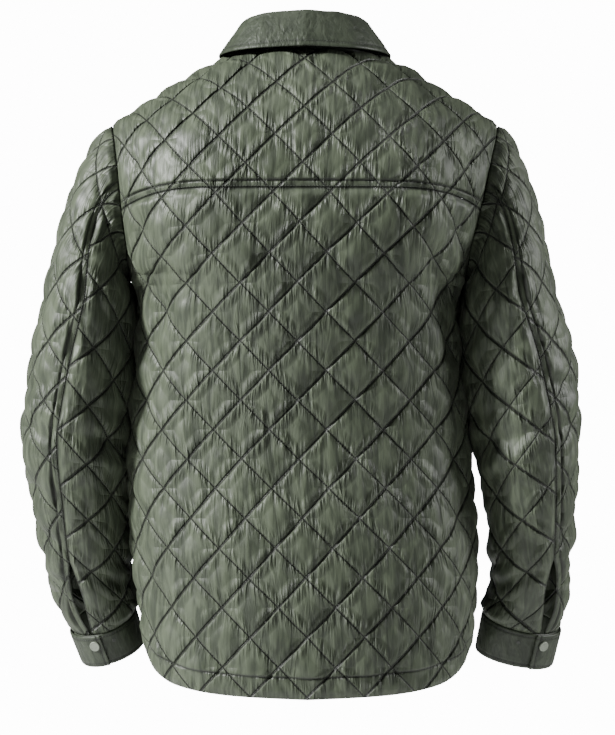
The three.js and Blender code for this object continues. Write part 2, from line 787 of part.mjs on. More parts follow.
function sleeveSurface(side, middle) {
  const ats = [...range(-CAP_ROWS, -1, CAP_ROWS * 2 - 1), ...steps(0, SLEEVE_END, GRID_STEP)];
  const point = (k, at) => sleevePoint(side, middle + k * 180, at);
  return makeSurface(point, ats, 0, 250, GRID_STEP);
}

function seamAngle(side, at) {
  const ring = smooth(ARMS[side], "seam", Math.max(0, at));
  return at >= 0 ? ring : lerp(ring, CAP_SEAM, -at / CAP_ROWS);
}

// How far each side of the back seam's vent stands from the seam.
function ventHalf(side, at) {
  const { start, open } = VENTS[side];
  const share = (at - start) / (SLEEVE_END - start);
  return share <= 0 ? 0 : open * Math.sin(Math.PI * Math.min(0.93, share)) ** 0.8;
}

function sleeveOutline(side, surface, middle, kLow, kHigh) {
  const inset = HALF_GAP;
  const toK = (degrees) => (degrees - middle) / 180;
  const ats = [...range(-CAP_ROWS, -1, CAP_ROWS), ...steps(0, SLEEVE_END, 14)];
  const edge = (degreesAt, sign, vent) =>
    ats.map((at) => {
      const [u, v] = surface.flat(toK(degreesAt(at)), at);
      return [u + sign * (inset + (vent ? ventHalf(side, at) : 0)), v];
    });
  const low = edge(kLow.angle, 1, kLow.vent);
  const high = edge(kHigh.angle, -1, kHigh.vent);
  const endRow = (at) =>
    range(toK(kLow.angle(at)), toK(kHigh.angle(at)), 26)
      .slice(1, -1)
      .map((k) => surface.flat(k, at));
  const trim = 1.2;
  const cap = endRow(-CAP_ROWS).filter(([u]) => u > low[0][0] + trim && u < high[0][0] - trim);
  const cuff = endRow(SLEEVE_END).filter(([u]) => u > low.at(-1)[0] + trim && u < high.at(-1)[0] - trim);
  return closeOutline(low, cuff, [...high].reverse(), [...cap].reverse());
}

const SLEEVE_PIECES = {
  outer: { middle: -30, low: () => FRONT_SEAM, high: (side, at) => seamAngle(side, at) },
  under: { middle: 140, low: (side, at) => seamAngle(side, at), high: () => 360 + FRONT_SEAM },
};

function sleevePiece(side, kind) {
  const { middle, low, high } = SLEEVE_PIECES[kind];
  const surface = sleeveSurface(side, middle);
  const lowEdge = { angle: (at) => low(side, at), vent: kind === "under" };
  const highEdge = { angle: (at) => high(side, at), vent: kind === "outer" };
  const loop = range(-180, 177, 120).map((degrees) => {
    const { point, normal, away } = armholeAt(side, degrees);
    return { point: point.addScaledVector(away, CAP_GAP), normal };
  });
  const cuffLoop = range(-180, 174, 60).map((degrees) => {
    const point = armRing(side, SLEEVE_END, degrees);
    return { point, normal: point.clone().sub(armCentre(side, SLEEVE_END)).normalize() };
  });
  return quiltedPiece({
    surface,
    outline: sleeveOutline(side, surface, middle, lowEdge, highEdge),
    crossing: SLEEVE_CROSSING,
    folds: FOLDS.sleeve,
    loops: [loop, cuffLoop],
    side: -MIRROR[side],
  });
}

// A cuff: one band that starts under its own tab, goes once round the wrist and laps over.
function cuffPoint(side, degrees, down, out) {
  const cuff = CUFFS[side];
  const mirror = MIRROR[side];
  const top = armRing(side, SLEEVE_END, degrees);
  const topMiddle = armCentre(side, SLEEVE_END);
  const topAxis = armAxis(side, SLEEVE_END);
  const bottomMiddle = new THREE.Vector3(mirror * cuff.x, cuff.y, cuff.z);
  const axis = bottomMiddle.clone().sub(topMiddle).normalize();
  const [across, back] = ringDirections(axis, mirror);
  const turn = radians(degrees);
  const bottom = bottomMiddle
    .addScaledVector(across, (cuff.across + out) * Math.cos(turn))
    .addScaledVector(back, (cuff.deep + out) * Math.sin(turn));
  const outward = top.clone().sub(topMiddle).normalize();
  return top.addScaledVector(outward, out).addScaledVector(topAxis, CUFF.below).lerp(bottom, down);
}

// How far out the band lies at a turn counted from its hidden start.
function cuffLayer(turned) {
  const total = 360 + 360 - CUFF.overlapStart;
  return (CUFF.thick + CUFF.turnClear) * smoothstep((turned - (total - 105)) / 40);
}

function cuffPiece(side) {
  const cuff = CUFFS[side];
  const overlap = 360 - CUFF.overlapStart;
  const start = cuff.tabEnd - overlap;
  const grid = (out) =>
    range(0, 1, CUFF.rows).map((down) =>
      range(0, 360 + overlap, CUFF.columns).map((turned) =>
        cuffPoint(side, start + turned, down, cuffLayer(turned) + out),
      ),
    );
  return wallBetween(grid(0), grid(CUFF.thick));
}

// A snap seen from outside: a round cap with a rim, standing a little off what carries it.
function snapPiece(point, outward, size = 1) {
  const { radius, rim, dome } = SNAP;
  const profile = [
    [0, 0],
    [radius, 0],
    [radius, rim],
    [radius * 0.78, dome],
    [0, dome],
  ].map(([x, y]) => new THREE.Vector2(x * size, y * size));
  const cap = new THREE.LatheGeometry(profile, 16);
  const turn = new THREE.Quaternion().setFromUnitVectors(new THREE.Vector3(0, 1, 0), outward);
  cap.applyQuaternion(turn);
  cap.translate(...point.clone().addScaledVector(outward, SEAM_GAP));
  cap.deleteAttribute("normal");
  cap.deleteAttribute("uv");
  return mergeVertices(cap, 1e-3);
}

function cuffSnap(side, degrees, out, size) {
  const down = CUFF.snapDown;
  const point = cuffPoint(side, degrees, down, out);
  const ahead = cuffPoint(side, degrees + 4, down, out);
  const below = cuffPoint(side, degrees, down + 0.3, out);
  const outward = ahead.sub(point).cross(below.sub(point)).normalize();
  const inside = cuffPoint(side, degrees, down, 0);
  if (outward.dot(point.clone().sub(inside)) < 0) {
    outward.negate();
  }
  return snapPiece(point, outward, size);
}

// The stand goes up from the neck seam, and the fall turns over it and down outside.
const COLLAR_COLUMNS = 41;
function collarStation(degrees) {
  const turn = Math.abs(degrees);
  const sign = Math.sign(degrees) || 1;
  const value = (column) => smooth(COLLAR_STATIONS, column, turn);
  const [k, at] = neckPlace(Math.min(178, turn));
  const neck = bodyPoint(sign * Math.abs(k), at);
  const top = new THREE.Vector3(sign * value("topX"), value("topY"), value("topZ"));
  const edge = new THREE.Vector3(sign * value("fallX"), value("fallY"), value("fallZ"));
  const outward = edge.clone().sub(top).setZ(0).normalize();
  return { neck, top, edge, outward };
}

function neckNormal(degrees) {
  const { neck } = collarStation(degrees);
  const distances = neckLoop.map((sample) => sample.point.distanceTo(neck));
  const nearest = neckLoop[nearestIndex(distances, 0)];
  const away = nearest.tangent.clone().cross(nearest.normal).normalize();
  away.multiplyScalar(Math.sign(away.z));
  return { normal: nearest.normal, away };
}

function collarStand() {
  const turns = range(-172, 172, COLLAR_COLUMNS);
  const shares = [0, 0.33, 0.66, 1];
  const grid = (out) =>
    shares.map((share) =>
      turns.map((degrees) => {
        const { neck, top, outward } = collarStation(degrees);
        const { normal, away } = neckNormal(degrees);
        const start = neck.clone().addScaledVector(away, SEAM_GAP + 0.1);
        const direction = normal.clone().lerp(outward, smoothstep(share * 1.6)).normalize();
        return start.lerp(top, share).addScaledVector(direction, out);
      }),
    );
  return wallBetween(grid(0), grid(COLLAR.thick));
}

function collarFall() {
  const turns = range(-172, 172, COLLAR_COLUMNS);
  const section = (degrees) => {
    const { top, edge, outward } = collarStation(degrees);
    const up = new THREE.Vector3(0, 0, 1);
    const lift = COLLAR.thick + SEAM_GAP;
    const { roll } = COLLAR;
    const place = (out, rise) => top.clone().addScaledVector(outward, out).addScaledVector(up, rise);
    const hang = place(roll * 2 + COLLAR.thick, -2);
    const straight = (t) => hang.clone().lerp(edge, t);
    return [
      [place(0, SEAM_GAP), place(0, lift)],
      [place(roll * 0.8, SEAM_GAP + 0.9), place(roll * 0.6, lift + 1.4)],
      [place(roll * 1.7, -0.8), place(roll * 2.2, lift + 0.6)],
      [hang, hang.clone().addScaledVector(outward, COLLAR.thick)],
      [straight(0.5), straight(0.5).addScaledVector(outward, COLLAR.thick + 0.5).addScaledVector(up, 0.5)],
      [straight(1), straight(1).addScaledVector(outward, COLLAR.thick * 0.9).addScaledVector(up, 0.8)],
    ];
  };
  const sections = turns.map(section);
  const grid = (level) => sections[0].map((_, row) => sections.map((column) => column[row][level]));
  return wallBetween(grid(0), grid(1));
}

// The band down the middle of the front, made from the body's points moved out.
function placketPoint(u, v, out) {
  const normal = surfaceNormal(frontSurface, u, v).negate();
  return frontSurface.at(u, v).addScaledVector(normal, out);
}

function placketEnds() {
  const top = frontSurface.flat(0, NECK.front + 4)[1];
  const bottom = frontSurface.flat(0, HEM_FRONT_ZERO - HEM[0].z - 0.5)[1];
  return [top, bottom];
}

function placketPiece() {
  const [top, bottom] = placketEnds();
  const grid = (out) =>
    steps(top, bottom, PLACKET.step).map((v) =>
      range(-PLACKET.halfWidth, PLACKET.halfWidth, 5).map((u) => placketPoint(u, v, out)),
    );
  const inner = WALL + PLACKET.clear;
  return wallBetween(grid(inner), grid(inner + PLACKET.thick));
}

function placketSnap(index) {
  const [top] = placketEnds();
  const v = top + SNAP.firstBelowNeck + index * SNAP.spacing;
  const out = WALL + PLACKET.clear + PLACKET.thick;
  const outward = surfaceNormal(frontSurface, 0, v).negate();
  return snapPiece(placketPoint(0, v, out), outward);
}

function material(color, roughness) {
  return new THREE.MeshStandardMaterial({ color, roughness, metalness: 0 });
}

const shellMaterial = () => material(COLOURS.shell, 0.48);
const trimMaterial = () => material(COLOURS.trim, 0.5);
const snapMaterial = () => material(COLOURS.snap, 0.55);
const studMaterial = () => material(COLOURS.stud, 0.5);

const jacket = new THREE.Group();
function addNode(name, geometry, nodeMaterial) {
  const mesh = new THREE.Mesh(geometry, nodeMaterial);
  mesh.name = name;
  jacket.add(mesh);
}

const flatUnderPlacket = (u) => smoothstep((Math.abs(u) - QUILT.across / 2 - 1) / EDGE_FADE);
const bodySpec = { loops: bodyLoops, side: -1 };
const backSpec = { ...bodySpec, surface: backSurface, crossing: BACK_CROSSING, folds: FOLDS.body };
const frontSpec = {
  ...bodySpec,
  surface: frontSurface,
  crossing: -BACK_CROSSING,
  folds: FOLDS.front,
  plain: flatUnderPlacket,
};

addNode("back", quiltedPiece({ ...backSpec, outline: backOutline() }), shellMaterial());
addNode("yoke", quiltedPiece({ ...backSpec, outline: yokeOutline() }), shellMaterial());
for (const [side, sign] of [["left", 1], ["right", -1]]) {
  addNode(`front_${side}`, quiltedPiece({ ...frontSpec, outline: frontOutline(sign) }), shellMaterial());
  addNode(`sleeve_outer_${side}`, sleevePiece(side, "outer"), shellMaterial());
  addNode(`sleeve_under_${side}`, sleevePiece(side, "under"), shellMaterial());
  addNode(`cuff_${side}`, cuffPiece(side), trimMaterial());
  const { snap, stud } = CUFFS[side];
  const tabTop = CUFF.thick * 2 + CUFF.turnClear;
  addNode(`cuff_snap_${side}`, cuffSnap(side, snap, tabTop, 1), snapMaterial());
  addNode(`cuff_stud_${side}`, cuffSnap(side, stud, CUFF.thick, SNAP.studSize), studMaterial());
}
addNode("collar_stand", collarStand(), trimMaterial());
addNode("collar_fall", collarFall(), trimMaterial());
addNode("front_placket", placketPiece(), trimMaterial());
for (let index = 0; index < SNAP.count; index += 1) {
  addNode(`front_snap_${index + 1}`, placketSnap(index), snapMaterial());
}

export default jacket;
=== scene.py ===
# The looks of a worn quilted shirt jacket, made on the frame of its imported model.
import json
import math

import bpy
import numpy as np
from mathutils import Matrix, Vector
from mathutils.bvhtree import BVHTree

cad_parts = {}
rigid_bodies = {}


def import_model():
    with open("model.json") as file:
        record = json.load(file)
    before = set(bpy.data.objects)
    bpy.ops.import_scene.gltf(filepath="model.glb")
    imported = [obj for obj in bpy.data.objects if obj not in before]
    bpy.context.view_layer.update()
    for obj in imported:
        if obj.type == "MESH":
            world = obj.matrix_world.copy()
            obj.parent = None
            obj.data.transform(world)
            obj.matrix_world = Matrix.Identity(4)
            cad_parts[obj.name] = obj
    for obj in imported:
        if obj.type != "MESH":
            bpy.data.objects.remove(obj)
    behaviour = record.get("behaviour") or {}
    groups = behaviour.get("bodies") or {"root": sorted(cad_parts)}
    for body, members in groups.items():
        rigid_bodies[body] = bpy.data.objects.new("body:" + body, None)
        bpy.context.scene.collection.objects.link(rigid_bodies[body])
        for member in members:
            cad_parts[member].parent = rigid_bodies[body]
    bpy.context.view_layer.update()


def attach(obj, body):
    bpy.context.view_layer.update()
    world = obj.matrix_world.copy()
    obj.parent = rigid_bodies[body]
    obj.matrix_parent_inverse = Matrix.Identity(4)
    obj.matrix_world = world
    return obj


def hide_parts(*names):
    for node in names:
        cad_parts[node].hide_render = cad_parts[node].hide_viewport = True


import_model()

MM = 0.001
MIRROR = {"left": 1, "right": -1}

# Cloth, in millimetres as everywhere below
WALL = 2.2
SEAM_GAP = 0.3
CAP_GAP = 0.8
EDGE_FADE = 9
FOLD_FADE = 13
LEAN_FADE = 6
NORMAL_FADE = 22
RIM = {"lower": 0.5, "fade": 1.6}
FAR_OUT = 400
QUILT = {"across": 63, "down": 66, "crown": 6.4, "wander": 0.9, "wander_over": 40}
BACK_CROSSING = 23
SLEEVE_CROSSING = 20
LINE_SPACING = QUILT["across"] * QUILT["down"] / math.hypot(QUILT["across"], QUILT["down"])
PROFILE = {"steep": 0.35, "steep_over": 3.6, "round": 0.65}
PADDING = {"least": 0.84, "uneven": 0.32, "even": 0.92, "lumpy": 0.16, "rise": 4}
GATHERS = {"sharp": 0.7, "broad": 1.1, "mean": 0.4, "bend": 4.0, "far": 0.25, "near": 0.85}
PATCHES = {"mean": 0.65, "uneven": 0.9, "least": 0.1, "most": 1.5}
NOISE_GAIN = 1.5
FINE_ACROSS = 2.1
FINE_DOWN = 2.7
HIDDEN_ACROSS = 3.0
HIDDEN_DOWN = 3.4
SEAM_STEP = 0.9

# Noises of the cloth: size across, size down, and what each adds to a piece's seed
GRAIN = {"bend": (26, 30, 1), "sharp": (6.4, 24, 2), "broad": (12, 33, 3), "patch": (34, 38, 4),
         "lumps": (15, 21, 5)}

# Body
NECK = {"half_width": 75, "back": 36, "front": 262}
RIDGE = 95
YOKE_BACK = {"at": -150, "drop": 21, "straight": 0.35}
YOKE_FRONT = 128
ARMPIT_BACK = -246
ARMPIT_FRONT = 436
CHEST_BACK = -275
CHEST_FRONT = 465
HEM_FRONT_ZERO = 190
NECK_ROUNDING = 0.35
SIDE_REACH = 0.7
SIDE_EDGE = 0.9999
INSIDE_BODY = (4, 0, -400)
SLEEVE_END = 377
CAP_ROWS = 14
CAP_PULL = 0.8
CAP_DROP = 0.75
FRONT_SEAM = -150
CAP_SEAM = 82

# Trims
PLACKET = {"half_width": 16, "thick": 1.8, "clear": 0.45}
COLLAR = {"thick": 2.4, "roll": 4, "ends": 172}
CUFF = {"thick": 2.8, "clear": 0.7, "below": 1.2, "overlap": 60, "snap_down": 0.3, "width": 42.5}
CUFF_TURN = 360 + CUFF["overlap"]
SNAP = {"radius": 6, "count": 6, "first": 22, "spacing": 92, "stud_size": 0.36}
THREAD = {"long": 2.5, "pitch": 3.3, "thick": 0.5, "sides": 5, "sunk": 0.35}

# Sewing lines, by their distance from the edge or the seam beside them
HEM_LINE = 24
HEM_BAND = 25
HEM_PRESS = 0.35
HEM_PRESS_FADE = 6
BAND_FADE = 2.5
YOKE_BAND = 8
SLEEVE_BAND = 7.6
PLACKET_LINE = 3.6
CUFF_LINE = 4.2
COLLAR_LINE = 6.2
TRIM_GROOVE = (0.55, 0.9)
COLLAR_GROOVE = (0.6, 0.9)


def table(columns, rows):
    """Turns rows under named columns into one array for each column."""
    return {name: np.array([row[i] for row in rows], float) for i, name in enumerate(columns)}


BODY_ROWS = table(
    ["at", "z_mid", "z_edge", "y_mid", "x_edge", "y_edge", "turn", "full", "shift"],
    [
        [-740, -740, -740, 110, 180, 0, 90, 0.62, -3],
        [-640, -640, -640, 115, 185, 0, 90, 0.62, -3],
        [-540, -540, -540, 113, 193, 0, 90, 0.62, 1],
        [-435, -435, -435, 106, 190, 0, 90, 0.62, 7],
        [-330, -330, -330, 117, 181, 0, 90, 0.63, 8],
        [-275, -275, -275, 127, 178, 0, 90, 0.64, 8],
        [-258, -258, -256, 129, 181, 0, 88, 0.64, 8],
        [-246, -246, -244, 131, 191, 2, 80, 0.64, 8],
        [-236, -236, -235, 132, 192, 24, 72, 0.64, 8],
        [-212, -212, -212, 135, 194, 42, 66, 0.64, 7],
        [-180, -180, -180, 137, 200, 51, 60, 0.64, 5],
        [-150, -150, -150, 135, 205, 52, 56, 0.64, 3],
        [-90, -93, -113, 122, 211, 45, 50, 0.62, 1],
        [-27, -37, -88, 97, 216, 29, 38, 0.6, 0],
        [40, 11, -77, 56, 218, 12, 16, 0.6, 0],
        [95, 26, -74, 0, 219, 0, 0, 0.6, 0],
        [150, 10, -77, -50, 217, -12, -16, 0.6, 0],
        [217, -32, -90, -90, 210, -30, -38, 0.6, 0],
        [280, -86, -112, -115, 197, -46, -50, 0.62, 1],
        [340, -145, -148, -129, 186, -54, -56, 0.64, 3],
        [370, -178, -180, -134, 183, -53, -60, 0.64, 5],
        [402, -210, -212, -139, 184, -43, -66, 0.64, 7],
        [426, -235, -235, -142, 188, -24, -72, 0.64, 8],
        [436, -246, -244, -142, 191, -2, -80, 0.64, 8],
        [448, -258, -256, -141, 181, 0, -88, 0.64, 8],
        [465, -275, -275, -140, 178, 0, -90, 0.64, 8],
        [520, -330, -330, -134, 181, 0, -90, 0.63, 8],
        [625, -435, -435, -123, 190, 0, -90, 0.62, 7],
        [730, -540, -540, -121, 193, 0, -90, 0.62, 1],
        [830, -640, -640, -118, 185, 0, -90, 0.62, -3],
        [930, -740, -740, -114, 180, 0, -90, 0.62, -3],
    ],
)
HEM = table(["at", "z"], [[0, -716], [0.3, -712], [0.57, -703], [0.75, -689], [0.88, -672], [1, -662]])
ARM_COLUMNS = ["at", "x", "y", "z", "across", "deep", "seam"]
ARMS = {
    "left": table(ARM_COLUMNS, [
        [0, 245.5, 2, -272, 46.5, 77, 90],
        [58, 254, 3, -330, 51, 71, 84],
        [113, 260.5, 4, -385, 53.5, 66, 79],
        [153, 263.5, 2, -425, 54, 62, 75],
        [218, 258.5, -10, -488, 49.5, 58, 74],
        [290, 252, -32, -556, 44.5, 52, 72],
        [343, 243, -50, -605, 41, 47, 72],
        [377, 233.5, -61, -636, 36.5, 46, 72],
    ]),
    "right": table(ARM_COLUMNS, [
        [0, 232, 2, -272, 49, 76, 80],
        [58, 242.5, 3, -330, 56.5, 67, 73],
        [113, 249.5, 4, -385, 58.5, 62, 67],
        [153, 252, 2, -425, 56, 60, 60],
        [218, 257, -10, -488, 49, 58, 59],
        [290, 259.5, -32, -556, 42.5, 53, 58],
        [343, 258, -50, -605, 41, 46, 58],
        [377, 250, -60, -638, 43, 40, 58],
    ]),
}
CUFFS = {
    "left": {"bottom": (221, -72, -675), "across": 34.6, "deep": 45, "tab_end": 87, "snap": 74, "stud": 107},
    "right": {"bottom": (241, -71, -682), "across": 42, "deep": 38.5, "tab_end": 69, "snap": 56, "stud": 93},
}
VENTS = {"left": {"start": 284, "open": 6}, "right": {"start": 284, "open": 9}}
COLLAR_STATIONS = table(
    ["at", "top_x", "top_y", "top_z", "fall_x", "fall_y", "fall_z"],
    [
        [0, 0, 53, 50, 0, 82, 11],
        [30, 35, 46, 48, 52, 74, 9],
        [60, 60, 27, 42, 86, 42, 7],
        [90, 67, -8, 33, 97, -6, 6],
        [120, 60, -50, 16, 92, -70, -14],
        [150, 36, -84, -19, 70, -120, -54],
        [174, 8, -97, -34, 44, -136, -98],
    ],
)

# Folds between two places on a surface's flat cloth, as u, v, u, v, width and depth, which is
# out of the surface or, if negative, into it. Some are also in the solids, the rest are looks.
FOLD_ENDS = (0.12, 0.88)
FOLDS = {
    "body": [
        [152, 60, 172, -62, 13, -5],
        [172, -62, 196, -150, 16, -4],
        [-150, 62, -172, 6, 13, -6],
        [-172, 6, -196, -70, 15, -4],
        [-160, -20, -178, -150, 16, 4],
        [-186, -150, -200, -300, 18, -4],
        [205, -240, 190, -330, 15, -4],
        [-120, -405, -60, -420, 15, -3],
        [120, 88, 148, 40, 9, -2.2],
        [-112, 92, -138, 40, 9, -2.4],
        [186, 110, 206, 60, 9, -3],
        [-186, 110, -204, 55, 9, -3],
        [60, -390, 120, -404, 13, -2],
        [-30, -330, 10, -400, 20, -1.6],
        [90, -120, 130, -240, 22, -1.8],
        [-90, -150, -130, -270, 22, -1.8],
        [150, -300, 196, -360, 14, -2.2],
        [196, 178, 206, 152, 7, -2.4],
        [-196, 178, -206, 152, 7, -2.4],
        [178, 190, 196, 168, 7, -2],
        [-178, 190, -196, 168, 7, -2],
    ],
    "front": [
        [150, 60, 175, -70, 14, -5],
        [-150, 60, -178, -60, 14, -5],
        [180, -170, 205, -300, 17, -4],
        [-185, -160, -205, -290, 17, -4],
        [60, -350, 130, -385, 16, -3],
        [110, 110, 160, 30, 10, -2.5],
        [-110, 110, -160, 30, 10, -2.5],
        [-60, -340, -130, -370, 14, -2.5],
        [80, -60, 120, -200, 22, -2],
        [-90, -80, -120, -210, 22, -2],
    ],
    "sleeve": [
        [-70, 150, 20, 158, 10, -5],
        [60, 148, 115, 160, 10, -5],
        [50, 110, 105, 98, 9, -4],
        [-40, 178, 30, 186, 9, 3],
        [40, 270, 95, 292, 9, -4],
        [-60, 318, 20, 330, 10, -4],
        [60, 338, 105, 326, 8, -4],
        [-30, 118, 50, 128, 9, -2.6],
        [-90, 205, -20, 214, 10, -3],
        [10, 212, 80, 226, 9, -2.8],
        [-10, 300, 60, 309, 8, -2.6],
        [-80, 286, -30, 276, 9, -2.6],
        [20, 345, 70, 352, 7, -2.4],
        [-100, 345, -40, 352, 8, -2.6],
        [-20, -118, 6, -60, 11, -2.4],
        [20, -92, 46, -30, 10, -2.4],
        [-60, -60, -30, 10, 12, -2.4],
    ],
}

# Where the under sleeves swell out towards the body, before they are laid on it.
LEANING = {
    "left": [[42, -4, 42, 200, 27, 8], [42, 190, 42, 340, 24, 4], [40, 330, 40, 372, 18, 4]],
    "right": [[42, -6, 42, 150, 27, 7]],
}


def lerp(a, b, t):
    return a + (b - a) * t


def smoothstep(t):
    c = np.clip(t, 0, 1)
    return c * c * (3 - 2 * c)


def unit(vectors):
    return vectors / np.maximum(np.linalg.norm(vectors, axis=-1, keepdims=True), 1e-9)


def dot(a, b):
    return np.sum(a * b, axis=-1, keepdims=True)


def as_grids(*values):
    """Arrays of one shape from numbers, lines and grids of numbers."""
    return np.broadcast_arrays(*(np.asarray(value, float) for value in values))


def corners(grid):
    """The four corners of every cell of a grid, in order round the cell."""
    return grid[:-1, :-1], grid[:-1, 1:], grid[1:, 1:], grid[1:, :-1]


def run_length(points, axis=0):
    """Lengths along one axis of a grid of points, from 0 at its start."""
    length = np.linalg.norm(np.diff(points, axis=axis), axis=-1)
    start = np.zeros_like(np.take(length, [0], axis))
    return np.concatenate([start, np.cumsum(length, axis)], axis)


def cell_of(place, count):
    """The cell that a place lies in, in a row of `count` values, and its share of the cell."""
    cell = np.clip(place.astype(int), 0, count - 2)
    return cell, place - cell


def in_cell(grid, row, column, t, s):
    """A grid's value between the four corners of a cell."""
    low = lerp(grid[row, column], grid[row, column + 1], s)
    high = lerp(grid[row + 1, column], grid[row + 1, column + 1], s)
    return lerp(low, high, t)


def hermite(t, start, end, leave, arrive):
    """A curve from one value to another that leaves and arrives with the given slopes."""
    t2, t3 = t * t, t * t * t
    return (
        (2 * t3 - 3 * t2 + 1) * start + (t3 - 2 * t2 + t) * leave
        + (3 * t2 - 2 * t3) * end + (t3 - t2) * arrive
    )


def smooth(rows, column, at):
    """A smooth curve through one column of a table that never swings past its rows."""
    x, y = rows["at"], rows[column]
    at = np.asarray(at, float)
    secant = np.diff(y) / np.diff(x)
    before, after = secant[:-1], secant[1:]
    both = before * after
    inner = np.where(both > 0, 2 * both / np.where(both > 0, before + after, 1), 0)
    tangent = np.concatenate([secant[:1], inner, secant[-1:]])
    i = np.clip(np.searchsorted(x, at, side="left") - 1, 0, len(x) - 2)
    span = x[i + 1] - x[i]
    return hermite((at - x[i]) / span, y[i], y[i + 1], span * tangent[i], span * tangent[i + 1])


def body_point(k, at):
    """The body on the row `at`, with k from -1 at the right edge to 1 at the left."""
    k, at = as_grids(k, at)
    row = {name: smooth(BODY_ROWS, name, at) for name in BODY_ROWS if name != "at"}
    turn = np.radians(row["turn"])
    t = np.abs(k)
    depth = np.abs(np.sin(turn) * (row["y_mid"] - row["y_edge"]))
    reach = row["full"] * (SIDE_REACH * np.cos(turn) * row["x_edge"] + depth)
    weights = [(1 - t) ** 3, 3 * t * (1 - t) ** 2, 3 * t * t * (1 - t), t ** 3]
    xs = [0, row["full"] * row["x_edge"], row["x_edge"] - reach * np.cos(turn), row["x_edge"]]
    ys = [row["y_mid"], row["y_mid"], row["y_edge"] + reach * np.sin(turn), row["y_edge"]]
    x, y = (sum(w * v for w, v in zip(weights, values)) for values in (xs, ys))
    drop = lambda s: np.sqrt(1 + (s / NECK_ROUNDING) ** 2) - 1
    z = lerp(row["z_mid"], row["z_edge"], drop(x / row["x_edge"]) / drop(1))
    return np.stack([np.sign(k) * x + row["shift"], y, z], -1)


class Cloth:
    """Measures a surface as flat cloth: u along each row, v across the rows from a base row."""

    def __init__(self, point, ats, base, reach, step=4.0, half=90):
        self.ats = np.asarray(ats, float)
        self.k = np.linspace(-1, 1, 2 * half + 1)
        points = point(self.k[None, :], self.ats[:, None])
        u = run_length(points, 1)
        self.u = u - u[:, half:half + 1]
        self.columns = np.arange(-reach, reach + step, step)
        lines = np.empty((len(self.ats), len(self.columns), 3))
        for row, axis in np.ndindex(len(self.ats), 3):
            lines[row, :, axis] = self.along(self.u[row], points[row, :, axis], self.columns)
        rise = run_length(lines)
        self.rise = rise - rise[int(np.argmin(np.abs(self.ats - base)))]

    @staticmethod
    def along(x, y, at):
        """Linear interpolation that goes on straight past both ends."""
        inside = np.interp(at, x, y)
        low = y[0] + (at - x[0]) * (y[1] - y[0]) / (x[1] - x[0])
        high = y[-1] + (at - x[-1]) * (y[-1] - y[-2]) / (x[-1] - x[-2])
        return np.where(at < x[0], low, np.where(at > x[-1], high, inside))

    def flat(self, k, at):
        k, at = as_grids(k, at)
        r, t = cell_of(np.interp(at, self.ats, np.arange(len(self.ats))), len(self.ats))
        i, s = cell_of((k + 1) / 2 * (len(self.k) - 1), len(self.k))
        u = in_cell(self.u, r, i, t, s)
        step = self.columns[1] - self.columns[0]
        c, s = cell_of((u - self.columns[0]) / step, len(self.columns))
        return u, in_cell(self.rise, r, c, t, s)


def fold_depth(folds, u, v):
    """How far a surface is pushed in or out by its folds."""
    total = np.zeros_like(u)
    for u0, v0, u1, v1, wide, depth in folds:
        du, dv = u1 - u0, v1 - v0
        t = np.clip(((u - u0) * du + (v - v0) * dv) / (du * du + dv * dv), 0, 1)
        distance = np.hypot(u - u0 - t * du, v - v0 - t * dv)
        total += depth * np.sin(np.pi * lerp(*FOLD_ENDS, t)) * np.exp(-((distance / wide) ** 2))
    return total


def hashed(i, j, seed):
    """A fixed number from 0 to 1 for each pair of whole numbers."""
    value = np.sin(i * 127.1 + j * 311.7 + seed * 74.7) * 43758.5453
    return value - np.floor(value)


def noise(x, y, seed):
    """Soft noise of about -1 to 1 over a plane."""
    i, j = np.floor(x), np.floor(y)
    s, t = x - i, y - j

    def slope(p, q):
        turn = 2 * np.pi * hashed(i + p, j + q, seed)
        return np.cos(turn) * (s - p) + np.sin(turn) * (t - q)

    low = lerp(slope(0, 0), slope(1, 0), smoothstep(s))
    high = lerp(slope(0, 1), slope(1, 1), smoothstep(s))
    return NOISE_GAIN * lerp(low, high, smoothstep(t))


def grain(name, u, v, seed):
    across, down, step = GRAIN[name]
    return noise(u / across, v / down, seed + step)


def sewn_place(u, v, crossing, seed):
    """The place in the diamond pattern, whose lines wander a little as sewn lines do."""
    over = QUILT["wander_over"]
    return u, v - crossing + QUILT["wander"] * noise(u / over, v / over, seed)


def diamond_profile(share):
    """Height across a diamond from one line to the next: steep at the stitches, then round."""
    away = 0.5 - np.abs(share - np.floor(share) - 0.5)
    steep = 1 - np.exp(-away * LINE_SPACING / PROFILE["steep_over"])
    return PROFILE["steep"] * steep + PROFILE["round"] * np.sin(np.pi * away)


def gathers(u, v, near_line, seed):
    """Upright creases that the stitches pull into thin cloth, mostly beside the lines."""
    bend = GATHERS["bend"] * grain("bend", u, v, seed)
    sharp = (1 - np.abs(grain("sharp", u + bend, v, seed))) ** 2 - GATHERS["mean"]
    broad = (1 - np.abs(grain("broad", u - bend, v, seed))) ** 2 - GATHERS["mean"]
    patch = PATCHES["mean"] + PATCHES["uneven"] * grain("patch", u, v, seed)
    patch = np.clip(patch, PATCHES["least"], PATCHES["most"])
    amount = patch * (GATHERS["far"] + GATHERS["near"] * near_line)
    return amount * (GATHERS["sharp"] * sharp + GATHERS["broad"] * broad)


